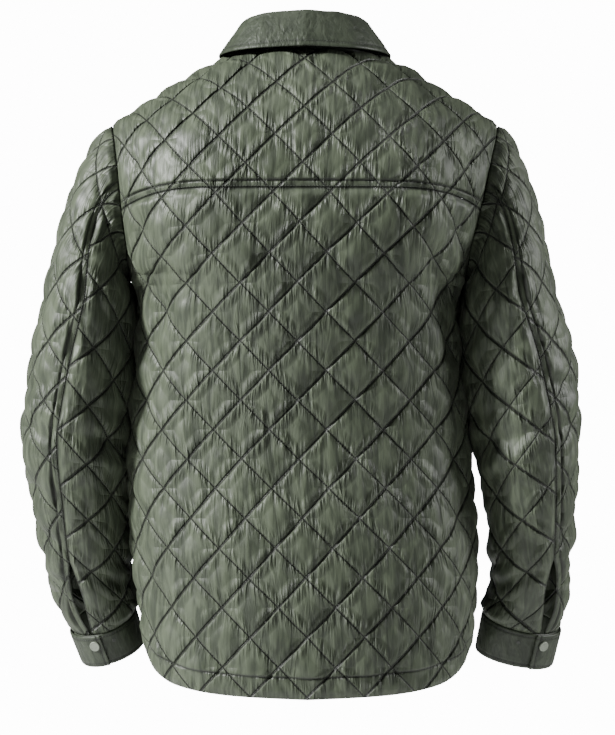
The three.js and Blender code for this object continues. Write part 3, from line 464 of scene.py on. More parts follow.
def quilt_height(u, v, crossing, seed):
    """Padding between the stitch lines, with the creases that the stitches gather."""
    s, t = sewn_place(u, v, crossing, seed)
    a = s / QUILT["across"] + t / QUILT["down"]
    b = s / QUILT["across"] - t / QUILT["down"]
    puff = diamond_profile(a) * diamond_profile(b)
    each = PADDING["least"] + PADDING["uneven"] * hashed(np.floor(a), np.floor(b), seed)
    near_line = np.clip(1.35 - 1.6 * puff, 0, 1)
    lumps = PADDING["even"] + PADDING["lumpy"] * grain("lumps", u, v, seed)
    height = QUILT["crown"] * puff * each * lumps
    return height + gathers(u, v, near_line, seed) * smoothstep(puff * PADDING["rise"])


# The measured surfaces of the body.
BODY_ATS = np.arange(-740, 931, 4.0)
BACK_CLOTH = Cloth(body_point, BODY_ATS, CHEST_BACK, 330)
FRONT_CLOTH = Cloth(body_point, BODY_ATS, CHEST_FRONT, 330)


def loop_samples(points, tilt):
    """The wall direction that both sides of a seam share, round a closed loop of points."""
    tangent = unit(np.roll(points, -1, 0) - np.roll(points, 1, 0))
    outward = points - points.mean(0)
    outward = unit(outward - tangent * dot(outward, tangent))
    return {"point": points, "tangent": tangent, "normal": unit(outward + np.array(tilt))}


def k_at_x(x, at):
    """The k of a row at which the body is x to the side of its middle."""
    low, high = np.zeros_like(at), np.ones_like(at)
    for _ in range(30):
        middle = (low + high) / 2
        inside = body_point(middle, at)[..., 0] - smooth(BODY_ROWS, "shift", at) < np.abs(x)
        low, high = np.where(inside, middle, low), np.where(inside, high, middle)
    return np.sign(x) * low


def neck_place(degrees):
    """The neck hole by an angle from the middle of the back, 0, to the front, 180."""
    turn = np.radians(np.abs(degrees))
    reach = np.where(np.abs(degrees) <= 90, RIDGE - NECK["back"], NECK["front"] - RIDGE)
    at = RIDGE - reach * np.cos(turn)
    side = np.where(np.asarray(degrees) < 0, -1.0, 1.0)
    return side * k_at_x(NECK["half_width"] * np.sin(turn) + 1e-6, at), at


NECK_LOOP = loop_samples(body_point(*neck_place(np.arange(-180, 180, 4.0))), (0, 0, 0.55))
ARMHOLE_ATS = np.linspace(ARMPIT_BACK, ARMPIT_FRONT, 115)
ARMHOLES = {
    side: loop_samples(body_point(mirror, ARMHOLE_ATS), (0, 0, 0)) for side, mirror in MIRROR.items()
}
TOP_OF_ARMHOLE = int(np.argmin(np.abs(ARMHOLE_ATS - RIDGE)))
BODY_LOOPS = [NECK_LOOP, *ARMHOLES.values()]


def arm_centre(side, at):
    x, y, z = (smooth(ARMS[side], column, at) for column in "xyz")
    return np.stack([MIRROR[side] * x, y, z], -1)


def ring_directions(axis, mirror):
    """The two directions across an arm: away from the body, and to the back."""
    across = np.zeros_like(axis)
    across[..., 0] = mirror
    across = unit(across - axis * dot(across, axis))
    back = unit(np.cross(axis, across))
    return across, back * np.sign(back[..., 1:2])


def arm_axis(side, at):
    return unit(arm_centre(side, at + 6) - arm_centre(side, at - 6))


def arm_ring(side, degrees, at):
    degrees, at = as_grids(degrees, at)
    across, back = ring_directions(arm_axis(side, at), MIRROR[side])
    turn = np.radians(degrees)
    wide = smooth(ARMS[side], "across", at) * np.cos(turn)
    deep = smooth(ARMS[side], "deep", at) * np.sin(turn)
    return arm_centre(side, at) + across * wide[..., None] + back * deep[..., None]


def arm_radius(side, at):
    """An arm's mean radius on a row. The rows of the cap have that of the arm's first row."""
    at = np.maximum(at, 0)
    return (smooth(ARMS[side], "across", at) + smooth(ARMS[side], "deep", at)) / 2


def armhole_at(side, degrees):
    """The armhole's point and directions at an angle, by its share of one branch."""
    loop = ARMHOLES[side]
    turned = (degrees + 180) % 360 - 180
    values = {}
    for sign, branch in ((1, slice(TOP_OF_ARMHOLE, None, -1)), (-1, slice(TOP_OF_ARMHOLE, None))):
        length = run_length(loop["point"][branch])
        wanted = np.abs(turned) / 180 * length[-1]
        here = (turned >= 0) if sign > 0 else (turned < 0)
        for key, samples in loop.items():
            found = np.stack([np.interp(wanted, length, samples[branch][:, i]) for i in range(3)], -1)
            values[key] = np.where(here[..., None], found, values.get(key, found))
    normal = unit(values["normal"])
    away = unit(np.cross(unit(values["tangent"]), normal))
    return values["point"], normal, away * np.sign(away[..., 0:1]) * MIRROR[side]


def sleeve_point(side, degrees, at):
    """A sleeve's rows: over the cap from the armhole, then down the arm's own rings."""
    degrees, at = as_grids(degrees, at)
    ring = arm_ring(side, degrees, np.maximum(at, 0))
    point, _, away = armhole_at(side, degrees)
    start = point + away * CAP_GAP
    axis = unit(arm_centre(side, np.array(8.0)) - arm_centre(side, np.array(0.0)))
    end = arm_ring(side, degrees, np.zeros_like(at))
    pull = np.linalg.norm(end - start, axis=-1, keepdims=True) * CAP_PULL
    leave = away.copy()
    leave[..., 2] -= CAP_DROP * np.maximum(0, np.cos(np.radians(degrees)))
    t = np.clip((at + CAP_ROWS) / CAP_ROWS, 0, 1)[..., None]
    cap = hermite(t, start, end, unit(leave) * pull, axis * pull)
    return np.where((at >= 0)[..., None], ring, cap)


def seam_angle(side, at):
    ring = smooth(ARMS[side], "seam", np.maximum(0, at))
    return np.where(at >= 0, ring, lerp(ring, CAP_SEAM, -at / CAP_ROWS))


def vent_half(side, at):
    """Half of the width of the open vent in the seam of a sleeve, above its cuff."""
    vent = VENTS[side]
    share = np.clip((at - vent["start"]) / (SLEEVE_END - vent["start"]), 0, 1)
    return vent["open"] * np.sin(np.pi * np.minimum(0.93, share)) ** 0.8


def grid_normals(points):
    """The direction across each point of a grid, from its neighbours."""
    down = np.gradient(points, axis=0)
    across = np.gradient(points, axis=1)
    return unit(np.cross(across, down))


def turn_to_loops(points, normals, loops):
    """Near a seam the wall turns to the direction that both of its sides share."""
    flat_points = points.reshape(-1, 3)
    flat_normals = normals.reshape(-1, 3).copy()
    for loop in loops:
        low, high = loop["point"].min(0) - NORMAL_FADE, loop["point"].max(0) + NORMAL_FADE
        near = np.where(((flat_points > low) & (flat_points < high)).all(1))[0]
        for part in np.array_split(near, max(1, len(near) // 4000)):
            if not len(part):
                continue
            gap = np.linalg.norm(flat_points[part][:, None] - loop["point"][None], axis=-1)
            best = gap.argmin(1)
            share = smoothstep(1 - gap.min(1) / NORMAL_FADE)[:, None]
            flat_normals[part] = unit(lerp(flat_normals[part], loop["normal"][best], share))
    return flat_normals.reshape(points.shape)


def edge_distance(points):
    """About how far each point of a grid lies from the nearest of the grid's four sides."""
    sides = []
    for axis in (0, 1):
        run = run_length(points, axis)
        sides.append(np.minimum(run, np.take(run, [-1], axis) - run))
    return np.minimum(*sides)


def add_mesh(name, vertices, faces, material, places=None, seams=None):
    """Makes a mesh that rides the root, with its points' places in the pattern and the painted shade of its
    seam grooves.
    """
    mesh = bpy.data.meshes.new(name)
    mesh.from_pydata((np.asarray(vertices) * MM).tolist(), [], [list(map(int, face)) for face in faces])
    mesh.materials.append(material)
    mesh.polygons.foreach_set("use_smooth", np.ones(len(mesh.polygons), bool))
    mesh.update()
    if places is not None:
        owners = np.empty(len(mesh.loops), np.int32)
        mesh.loops.foreach_get("vertex_index", owners)
        layer = mesh.uv_layers.new(name="cloth")
        layer.data.foreach_set("uv", (places[owners] * MM).astype(np.float32).ravel())
    # Painted shade: how far each point lies in a topstitch groove, which the material darkens.
    lines = mesh.attributes.new("painted_groove_shade", "FLOAT", "POINT")
    if seams is not None:
        lines.data.foreach_set("value", seams.astype(np.float32))
    piece = bpy.data.objects.new(name, mesh)
    bpy.context.scene.collection.objects.link(piece)
    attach(piece, "root")
    return piece


def wall_faces(rows, columns, coarse):
    """Faces of a closed wall. If coarse, its inner grid has only every second column."""
    outer = np.arange(rows * columns).reshape(rows, columns)
    inner_columns = (columns + 1) // 2 if coarse else columns
    inner = rows * columns + np.arange(rows * inner_columns).reshape(rows, inner_columns)
    faces = []

    def add(around, flip):
        faces.append(around[::-1] if flip else around)

    for grid, flip in ((outer, False), (inner, True)):
        for around in np.stack([corner.ravel() for corner in corners(grid)], 1).tolist():
            add(around, flip)
    for row, flip in ((0, True), (rows - 1, False)):
        for i in range(inner_columns - 1):
            a, b = inner[row, i], inner[row, i + 1]
            if not coarse:
                add([outer[row, i], outer[row, i + 1], b, a], flip)
                continue
            p, q, r = outer[row, 2 * i:2 * i + 3]
            for around in ([p, q, a], [q, b, a], [q, r, b]):
                add(around, flip)
    for column, flip in ((0, False), (-1, True)):
        for j in range(rows - 1):
            add([outer[j, column], outer[j + 1, column], inner[j + 1, column], inner[j, column]], flip)
    return faces


def wall_piece(name, inner, outer, material, coarse=False, places=None, seams=None):
    """A closed wall between two grids of points, its faces turned to point outward."""
    faces = wall_faces(*outer.shape[:2], coarse)
    a, b, c, d = corners(outer)
    if float(np.sum(np.cross(c - a, d - b) * (outer - inner)[:-1, :-1])) < 0:
        faces = [face[::-1] for face in faces]
    every = 2 if coarse else 1
    inner = inner[:, ::every]
    vertices = np.concatenate([outer.reshape(-1, 3), inner.reshape(-1, 3)])
    if places is not None:
        places = np.concatenate([places.reshape(-1, 2), places[:, ::every].reshape(-1, 2)])
    if seams is not None:
        seams = np.concatenate([seams.ravel(), 0 * inner[..., 0].ravel()])
    return add_mesh(name, vertices, faces, material, places, seams)


def shares(length, step, *finer):
    """Shares from 0 to 1 at even steps, closer together between the given lengths."""
    places = [0.0]
    while places[-1] < length - 1e-6:
        close = any(low <= places[-1] < high for low, high in finer)
        places.append(places[-1] + (min(step, SEAM_STEP) if close else step))
    if len(places) % 2 == 0:
        places.insert(1, places[1] / 2)
    return np.array(places) / places[-1]


def side_push(points, cloths, mirror):
    """How far points that reach into the body's cloth move to the side, so that they lie on it."""
    push = np.zeros(points.shape[:2])
    for name in cloths:
        mesh = bpy.data.objects[name].data
        tree = BVHTree.FromPolygons([p.co for p in mesh.vertices], [f.vertices for f in mesh.polygons])
        for place in np.ndindex(push.shape):
            x, y, z = points[place] * MM
            met = tree.ray_cast((mirror * FAR_OUT * MM, y, z), (-mirror, 0, 0))[0]
            if met is not None:
                push[place] = max(push[place], mirror * (met[0] - x) / MM + SEAM_GAP)
    return push * mirror


def declare(piece, width):
    """Puts a cloth in the place of the node that its name is made from, by hiding that node. Its width is
    not used.
    """
    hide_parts(piece.name.replace("_cloth", ""))


def quilted_piece(name, points, u, v, spec):
    """Lays padding, gathers and folds over a grid of base points, and makes a wall that takes the place of
    its node.
    """
    normals = grid_normals(points)
    if float(np.mean(dot(normals, points - spec["inside"]))) < 0:
        normals = -normals
    normals = turn_to_loops(points, normals, spec["loops"])
    distance = edge_distance(points)
    sunk = fold_depth(spec["folds"], u, v) * smoothstep(distance / FOLD_FADE)
    height = quilt_height(u, v, spec["crossing"], spec["seed"]) * spec.get("plain", 1)
    # The stitched lines also give the painted shade of the seam grooves.
    height, seams = spec["stitched"](height)
    lift = WALL - RIM["lower"] * (1 - smoothstep(distance / RIM["fade"]))
    lift = lift + height * smoothstep(distance / EDGE_FADE)
    base = points + normals * sunk[..., None]
    outer = base + normals * lift[..., None]
    if "leans_on" in spec:
        push = side_push(outer, spec["leans_on"], spec["mirror"]) * smoothstep(distance / LEAN_FADE)
        base[..., 0] += push
        outer[..., 0] += push
    places = np.stack(sewn_place(u, v, spec["crossing"], spec["seed"]), -1)
    piece = wall_piece(name, base, outer, SHELL, True, places, seams)
    declare(piece, np.ptp(u) * MM)


class Nodes:
    """A material, with small helpers that keep its formulas short."""

    def __init__(self, name):
        self.material = bpy.data.materials.new(name)
        self.material.use_nodes = True
        self.nodes, self.links = self.material.node_tree.nodes, self.material.node_tree.links
        self.places = self.nodes.new("ShaderNodeTexCoord").outputs

    def put(self, socket, value):
        if isinstance(value, (int, float, tuple)):
            socket.default_value = value
        else:
            self.links.new(value, socket)

    def node(self, kind, output, inputs, **settings):
        """Makes a node with its settings, sets or links its inputs, and returns one output."""
        made = self.nodes.new(kind)
        for name, value in settings.items():
            setattr(made, name, value)
        for name, value in inputs.items():
            self.put(made.inputs[name], value)
        return made.outputs[output]

    def math(self, operation, *values):
        return self.node("ShaderNodeMath", 0, dict(enumerate(values)), operation=operation)

    def between(self, value, low, high, to_low=0.0, to_high=1.0, kind="SMOOTHSTEP"):
        inputs = {"Value": value, "From Min": low, "From Max": high, "To Min": to_low, "To Max": to_high}
        return self.node("ShaderNodeMapRange", "Result", inputs, interpolation_type=kind)

    def noise(self, vector, scale, detail, distortion=0.0):
        inputs = {"Vector": vector, "Scale": scale, "Detail": detail, "Distortion": distortion}
        return self.node("ShaderNodeTexNoise", "Fac", inputs)

    def creases(self, place, stretch, scale, detail, distortion=0.0):
        """Stretched noise over one of the material's places, turned off the noise's own grid."""
        inputs = {"Vector": self.places[place], "Scale": stretch, "Rotation": (0.6, 0.4, 0.5)}
        vector = self.node("ShaderNodeMapping", "Vector", inputs)
        return self.noise(vector, scale, detail, distortion)

    def wave(self, scale, distortion=0.0):
        inputs = {"Vector": self.places["Object"], "Scale": scale, "Distortion": distortion}
        return self.node("ShaderNodeTexWave", "Fac", inputs, bands_direction="DIAGONAL")

    def colour(self, factor, low, high):
        ends = [(*value, 1) if isinstance(value, tuple) else value for value in (low, high)]
        inputs = {"Factor": factor, "A": ends[0], "B": ends[1]}
        return self.node("ShaderNodeMix", "Result", inputs, data_type="RGBA")

    def ramp(self, factor, low, high, start=0.0, stop=1.0):
        made = self.nodes.new("ShaderNodeValToRGB")
        for element, place, colour in zip(made.color_ramp.elements, (start, stop), (low, high)):
            element.position = place
            element.color = (*colour, 1)
        self.put(made.inputs["Fac"], factor)
        return made.outputs["Color"]

    def bump(self, height, distance, strength=1.0, **before):
        inputs = {"Strength": strength, "Distance": distance, "Height": height, **before}
        return self.node("ShaderNodeBump", "Normal", inputs)

    def finish(self, inputs):
        for name, value in inputs.items():
            self.put(self.nodes["Principled BSDF"].inputs[name], value)
        return self.material


# Each line's furrow, how far its gathered sides reach, and its stitches, in millimetres. The furrows are
# also painted shade in the colour, broader on the lines of one way than of the other, as light from one side
# shades them.
LINES = {"furrows": (2.3, 1.2), "clear": 0.1, "side": (1.0, 14.0), "thread": (0.15, 0.55)}
STITCHES_PER_CELL = 14.0
STITCH_ENDS = (0.10, 0.18)
# Painted shade: how far the seam grooves and the stitch dashes are darkened, and below it, the furrows.
THREAD_AND_GROOVE_SHADE = 0.85
FURROW_SHADE = 0.95
NOISE_RANGE = (0.35, 0.65)
# In each look, dark and light are the colours of the hollows and the crests of its fine creases: painted
# shade that follows the creases of its bump.
SHELL_LOOK = {
    "dark": (0.028, 0.035, 0.023), "light": (0.068, 0.083, 0.054), "roughness": 0.5, "relief": 0.0023,
    "creases": ("UV", (1, 0.15, 1), 210, 2.5, 0.8), "deeper": ("UV", (1, 0.17, 1), 105, 2, 1.1),
}
TRIM_LOOK = {
    "dark": (0.021, 0.027, 0.017), "light": (0.036, 0.045, 0.029), "roughness": 0.48, "relief": 0.0009,
    "creases": ("Object", (1, 1, 0.35), 190, 4, 0.7), "deeper": ("Object", (1, 1, 0.4), 90, 2, 1.0),
}


def sewn_lines(made):
    """The furrows, stitches and gathered sides of the diamond lines, from places in the pattern."""
    place = {"Vector": made.places["UV"]}
    s = made.math("DIVIDE", made.node("ShaderNodeSeparateXYZ", "X", place), QUILT["across"] * MM)
    t = made.math("DIVIDE", made.node("ShaderNodeSeparateXYZ", "Y", place), QUILT["down"] * MM)
    ways = (made.math("ADD", s, t), made.math("SUBTRACT", s, t))
    furrows, stitches, sides = [], [], []
    for way, other, width in zip(ways, ways[::-1], LINES["furrows"]):
        away = made.math("MULTIPLY", made.math("PINGPONG", way, 0.5), LINE_SPACING)
        furrows.append(made.between(away, LINES["clear"], width, 1.0, 0.0))
        sides.append(made.between(away, *LINES["side"], 1.7, 0.3))
        dash = made.math("PINGPONG", made.math("MULTIPLY", other, STITCHES_PER_CELL), 0.5)
        thread = made.between(away, *LINES["thread"], 1.0, 0.0)
        stitches.append(made.math("MULTIPLY", made.between(dash, *STITCH_ENDS), thread))
    return [made.math("MAXIMUM", *parts) for parts in (furrows, stitches, sides)]


def cloth_material(name, look, quilted):
    """Satin nylon: fine upright creases, a close weave, a soft sheen and, if quilted, its lines. Its colour
    holds painted shade: darker in the hollows of the creases, in the furrows of the lines and in the seam
    grooves.
    """
    made = Nodes(name)
    patches = made.creases("Object", (1, 1, 1), 9, 4)
    creases, deeper = made.creases(*look["creases"]), made.creases(*look["deeper"])
    # Painted shade: the colour darkens where the crease noise that also drives the bump is low, in the
    # hollows of the creases.
    crease_shade = made.math("ADD", made.math("MULTIPLY", deeper, 0.6), made.math("MULTIPLY", creases, 0.4))
    colour = made.colour(made.between(crease_shade, *NOISE_RANGE), look["dark"], look["light"])
    # Painted shade in the seam grooves, carried by the mesh attribute.
    line = made.node("ShaderNodeAttribute", "Fac", {}, attribute_name="painted_groove_shade")
    thread_and_groove_shade = made.math("MULTIPLY", line, THREAD_AND_GROOVE_SHADE)
    amount = made.between(patches, *NOISE_RANGE, 0.6, 1.5)
    height = made.math("MULTIPLY", made.math("ADD", creases, made.math("MULTIPLY", deeper, 1.3)), amount)
    if quilted:
        furrow, stitch, beside = sewn_lines(made)
        height = made.math("MULTIPLY", height, beside)
        for part, dark, rise in ((furrow, FURROW_SHADE, -1.0), (stitch, THREAD_AND_GROOVE_SHADE, 0.35)):
            thread_and_groove_shade = made.math("MAXIMUM", thread_and_groove_shade, made.math("MULTIPLY", part, dark))
            height = made.math("ADD", height, made.math("MULTIPLY", part, rise))
    # Painted shade: the furrows and seam grooves are mixed towards this near black, which the stitch dashes
    # of the quilting thread share.
    shadow_and_thread_colour = tuple(part * 0.12 for part in look["dark"])
    folded = made.bump(height, look["relief"])
    return made.finish({
        "Base Color": made.colour(made.math("MINIMUM", thread_and_groove_shade, 0.9), colour, shadow_and_thread_colour),
        "Roughness": made.between(patches, 0.3, 0.7, look["roughness"] - 0.05, look["roughness"] + 0.07),
        "Normal": made.bump(made.wave(900, 1.5), 0.0002, 0.12, Normal=folded),
        "Sheen Weight": 0.05,
        "Sheen Roughness": 0.4,
        "Sheen Tint": (0.8, 0.84, 0.72, 1),
        "Specular IOR Level": 0.3,
    })


def snap_material(name, dark, light):
    """Painted metal caps, matte and slightly worn."""
    made = Nodes(name)
    speckle = made.noise(made.places["Object"], 900, 3)
    return made.finish({
        "Base Color": made.ramp(speckle, dark, light, 0.3, 0.7),
        "Roughness": made.between(speckle, 0, 1, 0.36, 0.5, "LINEAR"),
        "Normal": made.bump(speckle, 0.0001, 0.2),
        "Metallic": 0.25,
    })


def thread_material():
    made = Nodes("thread")
    twist = made.wave(1400)
    return made.finish({
        "Base Color": made.ramp(twist, (0.028, 0.034, 0.026), (0.06, 0.07, 0.052)),
        "Roughness": 0.6,
        "Normal": made.bump(twist, 0.0001, 0.4),
    })


def paper_material(colour):
    made = Nodes("floor_paper")
    patches = made.noise(made.places["Generated"], 4, 2)
    return made.finish({
        "Base Color": made.ramp(patches,tuple(part * 0.985 for part in colour), colour),
        "Roughness": 0.8,
    })


SHELL = cloth_material("shell_nylon", SHELL_LOOK, True)
TRIM = cloth_material("trim_nylon", TRIM_LOOK, False)
SNAP_PAINT = snap_material("snap_paint", (0.15, 0.17, 0.135), (0.2, 0.225, 0.18))
STUD_PAINT = snap_material("stud_paint", (0.02, 0.022, 0.019), (0.045, 0.05, 0.04))
THREAD_YARN = thread_material()


def groove(distance, where, deep, wide):
    """The furrow that a line of topstitches pulls into the cloth."""
    return deep * np.exp(-(((distance - where) / wide) ** 2))


def yoke_seam_at(k):
    """The row of the back's yoke seam, which dips towards the armholes."""
    share = np.maximum(0, (np.abs(k) - YOKE_BACK["straight"]) / (1 - YOKE_BACK["straight"]))
    return YOKE_BACK["at"] - YOKE_BACK["drop"] * share * share


def hem_stitched(height, above_hem, wide, lines=0):
    """Padding pressed flat in the hem, with the hem's own sewing line."""
    pressed = 1 - HEM_PRESS * smoothstep((HEM_BAND - above_hem) / HEM_PRESS_FADE)
    lines = lines + groove(above_hem, HEM_LINE, 1.0, wide)
    return height * pressed - 1.5 * lines, lines


def back_panel():
    k = (shares(545, FINE_ACROSS)[None, :] * 2 - 1) * SIDE_EDGE
    down = shares(566, FINE_DOWN, (20, 32), (560, 566))[:, None]
    hem = smooth(HEM, "z", np.abs(k))
    seam = yoke_seam_at(k)
    at = lerp(hem, seam - 0.2, down)
    u, v = BACK_CLOTH.flat(k, at)
    stitched = lambda height: hem_stitched(height, at - hem, 1.5, groove(seam - at, 0.6, 1.0, 1.5))
    quilted_piece("back_cloth", body_point(k, at), u, v, dict(
        inside=INSIDE_BODY, loops=BODY_LOOPS, folds=FOLDS["body"], crossing=BACK_CROSSING, seed=11,
        stitched=stitched))


NECK_YOKE_TURN = 90 + math.degrees(math.asin((YOKE_FRONT - RIDGE) / (NECK["front"] - RIDGE)))


def yoke_panel():
    sides = 96
    middle = 2 * len(shares(215, FINE_ACROSS)) + 1
    up = np.linspace(YOKE_FRONT, float(yoke_seam_at(1)), sides, endpoint=False)
    across = np.linspace(1, -1, middle)
    outer_at = np.concatenate([up, yoke_seam_at(across), up[::-1]])
    outer_k = np.concatenate([np.ones(sides), across, -np.ones(sides)])
    count = len(outer_k)
    turns = np.interp(
        np.arange(count), [0, sides, sides + middle - 1, count - 1],
        [NECK_YOKE_TURN, 62, -62, -NECK_YOKE_TURN],
    )
    neck_k, neck_at = neck_place(turns)
    t = lerp(0.001, 0.998, shares(186, FINE_DOWN, (174, 186)))[:, None]
    k = lerp(neck_k[None], outer_k[None], t)
    at = lerp(neck_at[None], outer_at[None], t)
    u, v = BACK_CLOTH.flat(k, at)

    def stitched(height):
        above = at - yoke_seam_at(k)
        band = smoothstep((YOKE_BAND + 1.5 - above) / BAND_FADE)
        ticks = 0.35 * noise(u / 2.6, v / 6, 12)
        lines = groove(above, 0.8, 1.0, 1.0) + groove(above, YOKE_BAND, 1.0, 1.5)
        return height * (1 - 0.85 * band) + (1.5 + ticks) * band - 2.2 * lines, lines

    quilted_piece("yoke_cloth", body_point(k, at), u, v, dict(
        inside=(0, 0, -150), loops=BODY_LOOPS, folds=FOLDS["body"], crossing=BACK_CROSSING, seed=11,
        stitched=stitched))


def front_panel(side):
    neck_k, neck_at = neck_place(MIRROR[side] * np.linspace(NECK_YOKE_TURN + 1, 179, 56))
    s = shares(262, HIDDEN_ACROSS)[None, :]
    upper_k = lerp(np.abs(neck_k)[:, None], SIDE_EDGE, s)
    upper_at = np.broadcast_to(neck_at[:, None], upper_k.shape)
    lower_k = lerp(0.0012, SIDE_EDGE, s)
    t = shares(640, HIDDEN_DOWN, (608, 620))[1:, None]
    lower_at = lerp(neck_at[-1], HEM_FRONT_ZERO - smooth(HEM, "z", lower_k), t)
    k = MIRROR[side] * np.concatenate([upper_k, np.broadcast_to(lower_k, lower_at.shape)])
    at = np.concatenate([upper_at, lower_at])
    u, v = FRONT_CLOTH.flat(k, at)
    above_hem = HEM_FRONT_ZERO - smooth(HEM, "z", np.abs(k)) - at
    quilted_piece(f"front_cloth_{side}", body_point(k, at), u, v, dict(
        inside=INSIDE_BODY, loops=BODY_LOOPS, folds=FOLDS["front"], crossing=-BACK_CROSSING, seed=23,
        stitched=lambda height: hem_stitched(height, above_hem, 1.6),
        plain=smoothstep((np.abs(u) - PLACKET["half_width"] - 1.5) / 9)))


SLEEVE_PIECES = {
    "outer": {"middle": -30, "low": lambda side, at: FRONT_SEAM + 0 * at, "high": seam_angle,
              "wide": 255, "seam": (242, 255)},
    "under": {"middle": 140, "low": seam_angle, "high": lambda side, at: 360 + FRONT_SEAM + 0 * at,
              "wide": 150, "seam": (0, 4)},
}

# Rows of a sleeve, from the cap to the seam with the cuff
SLEEVE_ATS = np.concatenate([
    np.linspace(-CAP_ROWS, -0.2, 60), np.arange(0, SLEEVE_END, FINE_DOWN),
    [SLEEVE_END + CUFF["below"] - SEAM_GAP],
])


def sleeve_cloth(side, kind):
    middle = SLEEVE_PIECES[kind]["middle"]
    return Cloth(lambda k, at: sleeve_point(side, middle + k * 180, at), SLEEVE_ATS, 0, 250)


SLEEVE_CLOTHS = {(side, kind): sleeve_cloth(side, kind) for side in ARMS for kind in SLEEVE_PIECES}


def sleeve_panel(side, kind):
    what = SLEEVE_PIECES[kind]
    radius = arm_radius(side, SLEEVE_ATS)
    open_degrees = np.degrees((vent_half(side, SLEEVE_ATS) + 0.2) / radius)
    trim = np.degrees(0.2 / radius)
    low = what["low"](side, SLEEVE_ATS) + (open_degrees if kind == "under" else trim)
    high = what["high"](side, SLEEVE_ATS) - (open_degrees if kind == "outer" else trim)
    s = shares(what["wide"], FINE_ACROSS, what["seam"])[None, :]
    degrees = lerp(low[:, None], high[:, None], s)
    at = np.broadcast_to(SLEEVE_ATS[:, None], degrees.shape)
    u, v = SLEEVE_CLOTHS[side, kind].flat((degrees - what["middle"]) / 180, at)
    turns = np.arange(-180, 180, 3.0)
    point, normal, away = armhole_at(side, turns)
    end = arm_ring(side, turns, np.full_like(turns, SLEEVE_END))
    seam = high if kind == "outer" else low
    to_seam = np.abs(degrees - seam[:, None]) * np.pi / 180 * np.maximum(40, radius)[:, None]

    def stitched(height):
        if kind == "under":
            lines = groove(to_seam, 0.6, 1.0, 1.3)
            return height - lines, lines
        band = smoothstep((SLEEVE_BAND + 1.4 - to_seam) / BAND_FADE)
        lines = groove(to_seam, 0.6, 0.8, 1.0) + groove(to_seam, SLEEVE_BAND, 1.0, 1.4)
        return height * (1 - 0.8 * band) + 1.3 * band - 1.8 * lines, lines

    spec = dict(
        inside=arm_centre(side, np.maximum(SLEEVE_ATS, 0))[:, None, :], folds=FOLDS["sleeve"],
        loops=[
            {"point": point + away * CAP_GAP, "normal": normal},
            {"point": end, "normal": unit(end - arm_centre(side, np.array(float(SLEEVE_END))))},
        ],
        crossing=SLEEVE_CROSSING, seed=31 + len(side) + len(kind), stitched=stitched)
    if kind == "under":
        spec.update(folds=FOLDS["sleeve"] + LEANING[side], mirror=MIRROR[side],
                    leans_on=["back_cloth", f"front_cloth_{side}"])
    quilted_piece(f"sleeve_{kind}_cloth_{side}", sleeve_point(side, degrees, at), u, v, spec)


def cuff_point(side, degrees, down, out):
    """A cuff by the angle round it, the share down it and the distance out of its inner side."""
    cuff = CUFFS[side]
    degrees, down, out = as_grids(degrees, down, out)
    end = np.array(float(SLEEVE_END))
    top_middle = arm_centre(side, end)
    top = arm_ring(side, degrees, np.full_like(degrees, SLEEVE_END))
    bottom_middle = np.array([MIRROR[side] * cuff["bottom"][0], *cuff["bottom"][1:]], float)
    across, back = ring_directions(unit(bottom_middle - top_middle), MIRROR[side])
    turn = np.radians(degrees)
    bottom = (
        bottom_middle + across * ((cuff["across"] + out) * np.cos(turn))[..., None]
        + back * ((cuff["deep"] + out) * np.sin(turn))[..., None]
    )
    top = top + unit(top - top_middle) * out[..., None] + arm_axis(side, end) * CUFF["below"]
    return lerp(top, bottom, down[..., None])


def from_ends(places, whole=1):
    return np.minimum(places, whole - places)


def rounded_sides(share, deep, wide):
    """How far a band's faces draw in towards its edges, over a share of its width."""
    return deep * (1 - smoothstep(from_ends(share) / wide) ** 0.5)


def cuff_layer(turned):
    """How far out the cuff lies where its tab overlaps it."""
    return (CUFF["thick"] + CUFF["clear"]) * smoothstep((turned - (CUFF_TURN - 105)) / 40)


def cuff_panel(side):
    turned = np.linspace(0, CUFF_TURN, 321)[None, :]
    down = np.linspace(0, 1, 37)[:, None]
    layer = cuff_layer(turned)
    rounding = rounded_sides(down, 1.0, 0.07)
    wave = 0.35 * noise(turned / 9, down * 3, 61) + 0.25 * noise(turned / 3, down * 1.5, 62)
    wave = wave * smoothstep(from_ends(down) / 0.2)
    lines = groove(from_ends(down) * 42, CUFF_LINE, *TRIM_GROOVE)
    lines = lines + groove((CUFF_TURN - turned) * 0.7, CUFF_LINE, *TRIM_GROOVE)
    degrees = CUFFS[side]["tab_end"] - CUFF["overlap"] + turned
    inner = cuff_point(side, degrees, down, layer + rounding * 0.5)
    outer = cuff_point(side, degrees, down, layer + CUFF["thick"] - rounding - lines + wave * 0.6)
    # Painted shade in the topstitch grooves.
    seams = lines / TRIM_GROOVE[0]
    piece = wall_piece(f"cuff_cloth_{side}", inner, outer, TRIM, True, seams=seams)
    length, width = run_length(inner[18])[-1] * MM, CUFF["width"] * MM
    declare(piece, length)


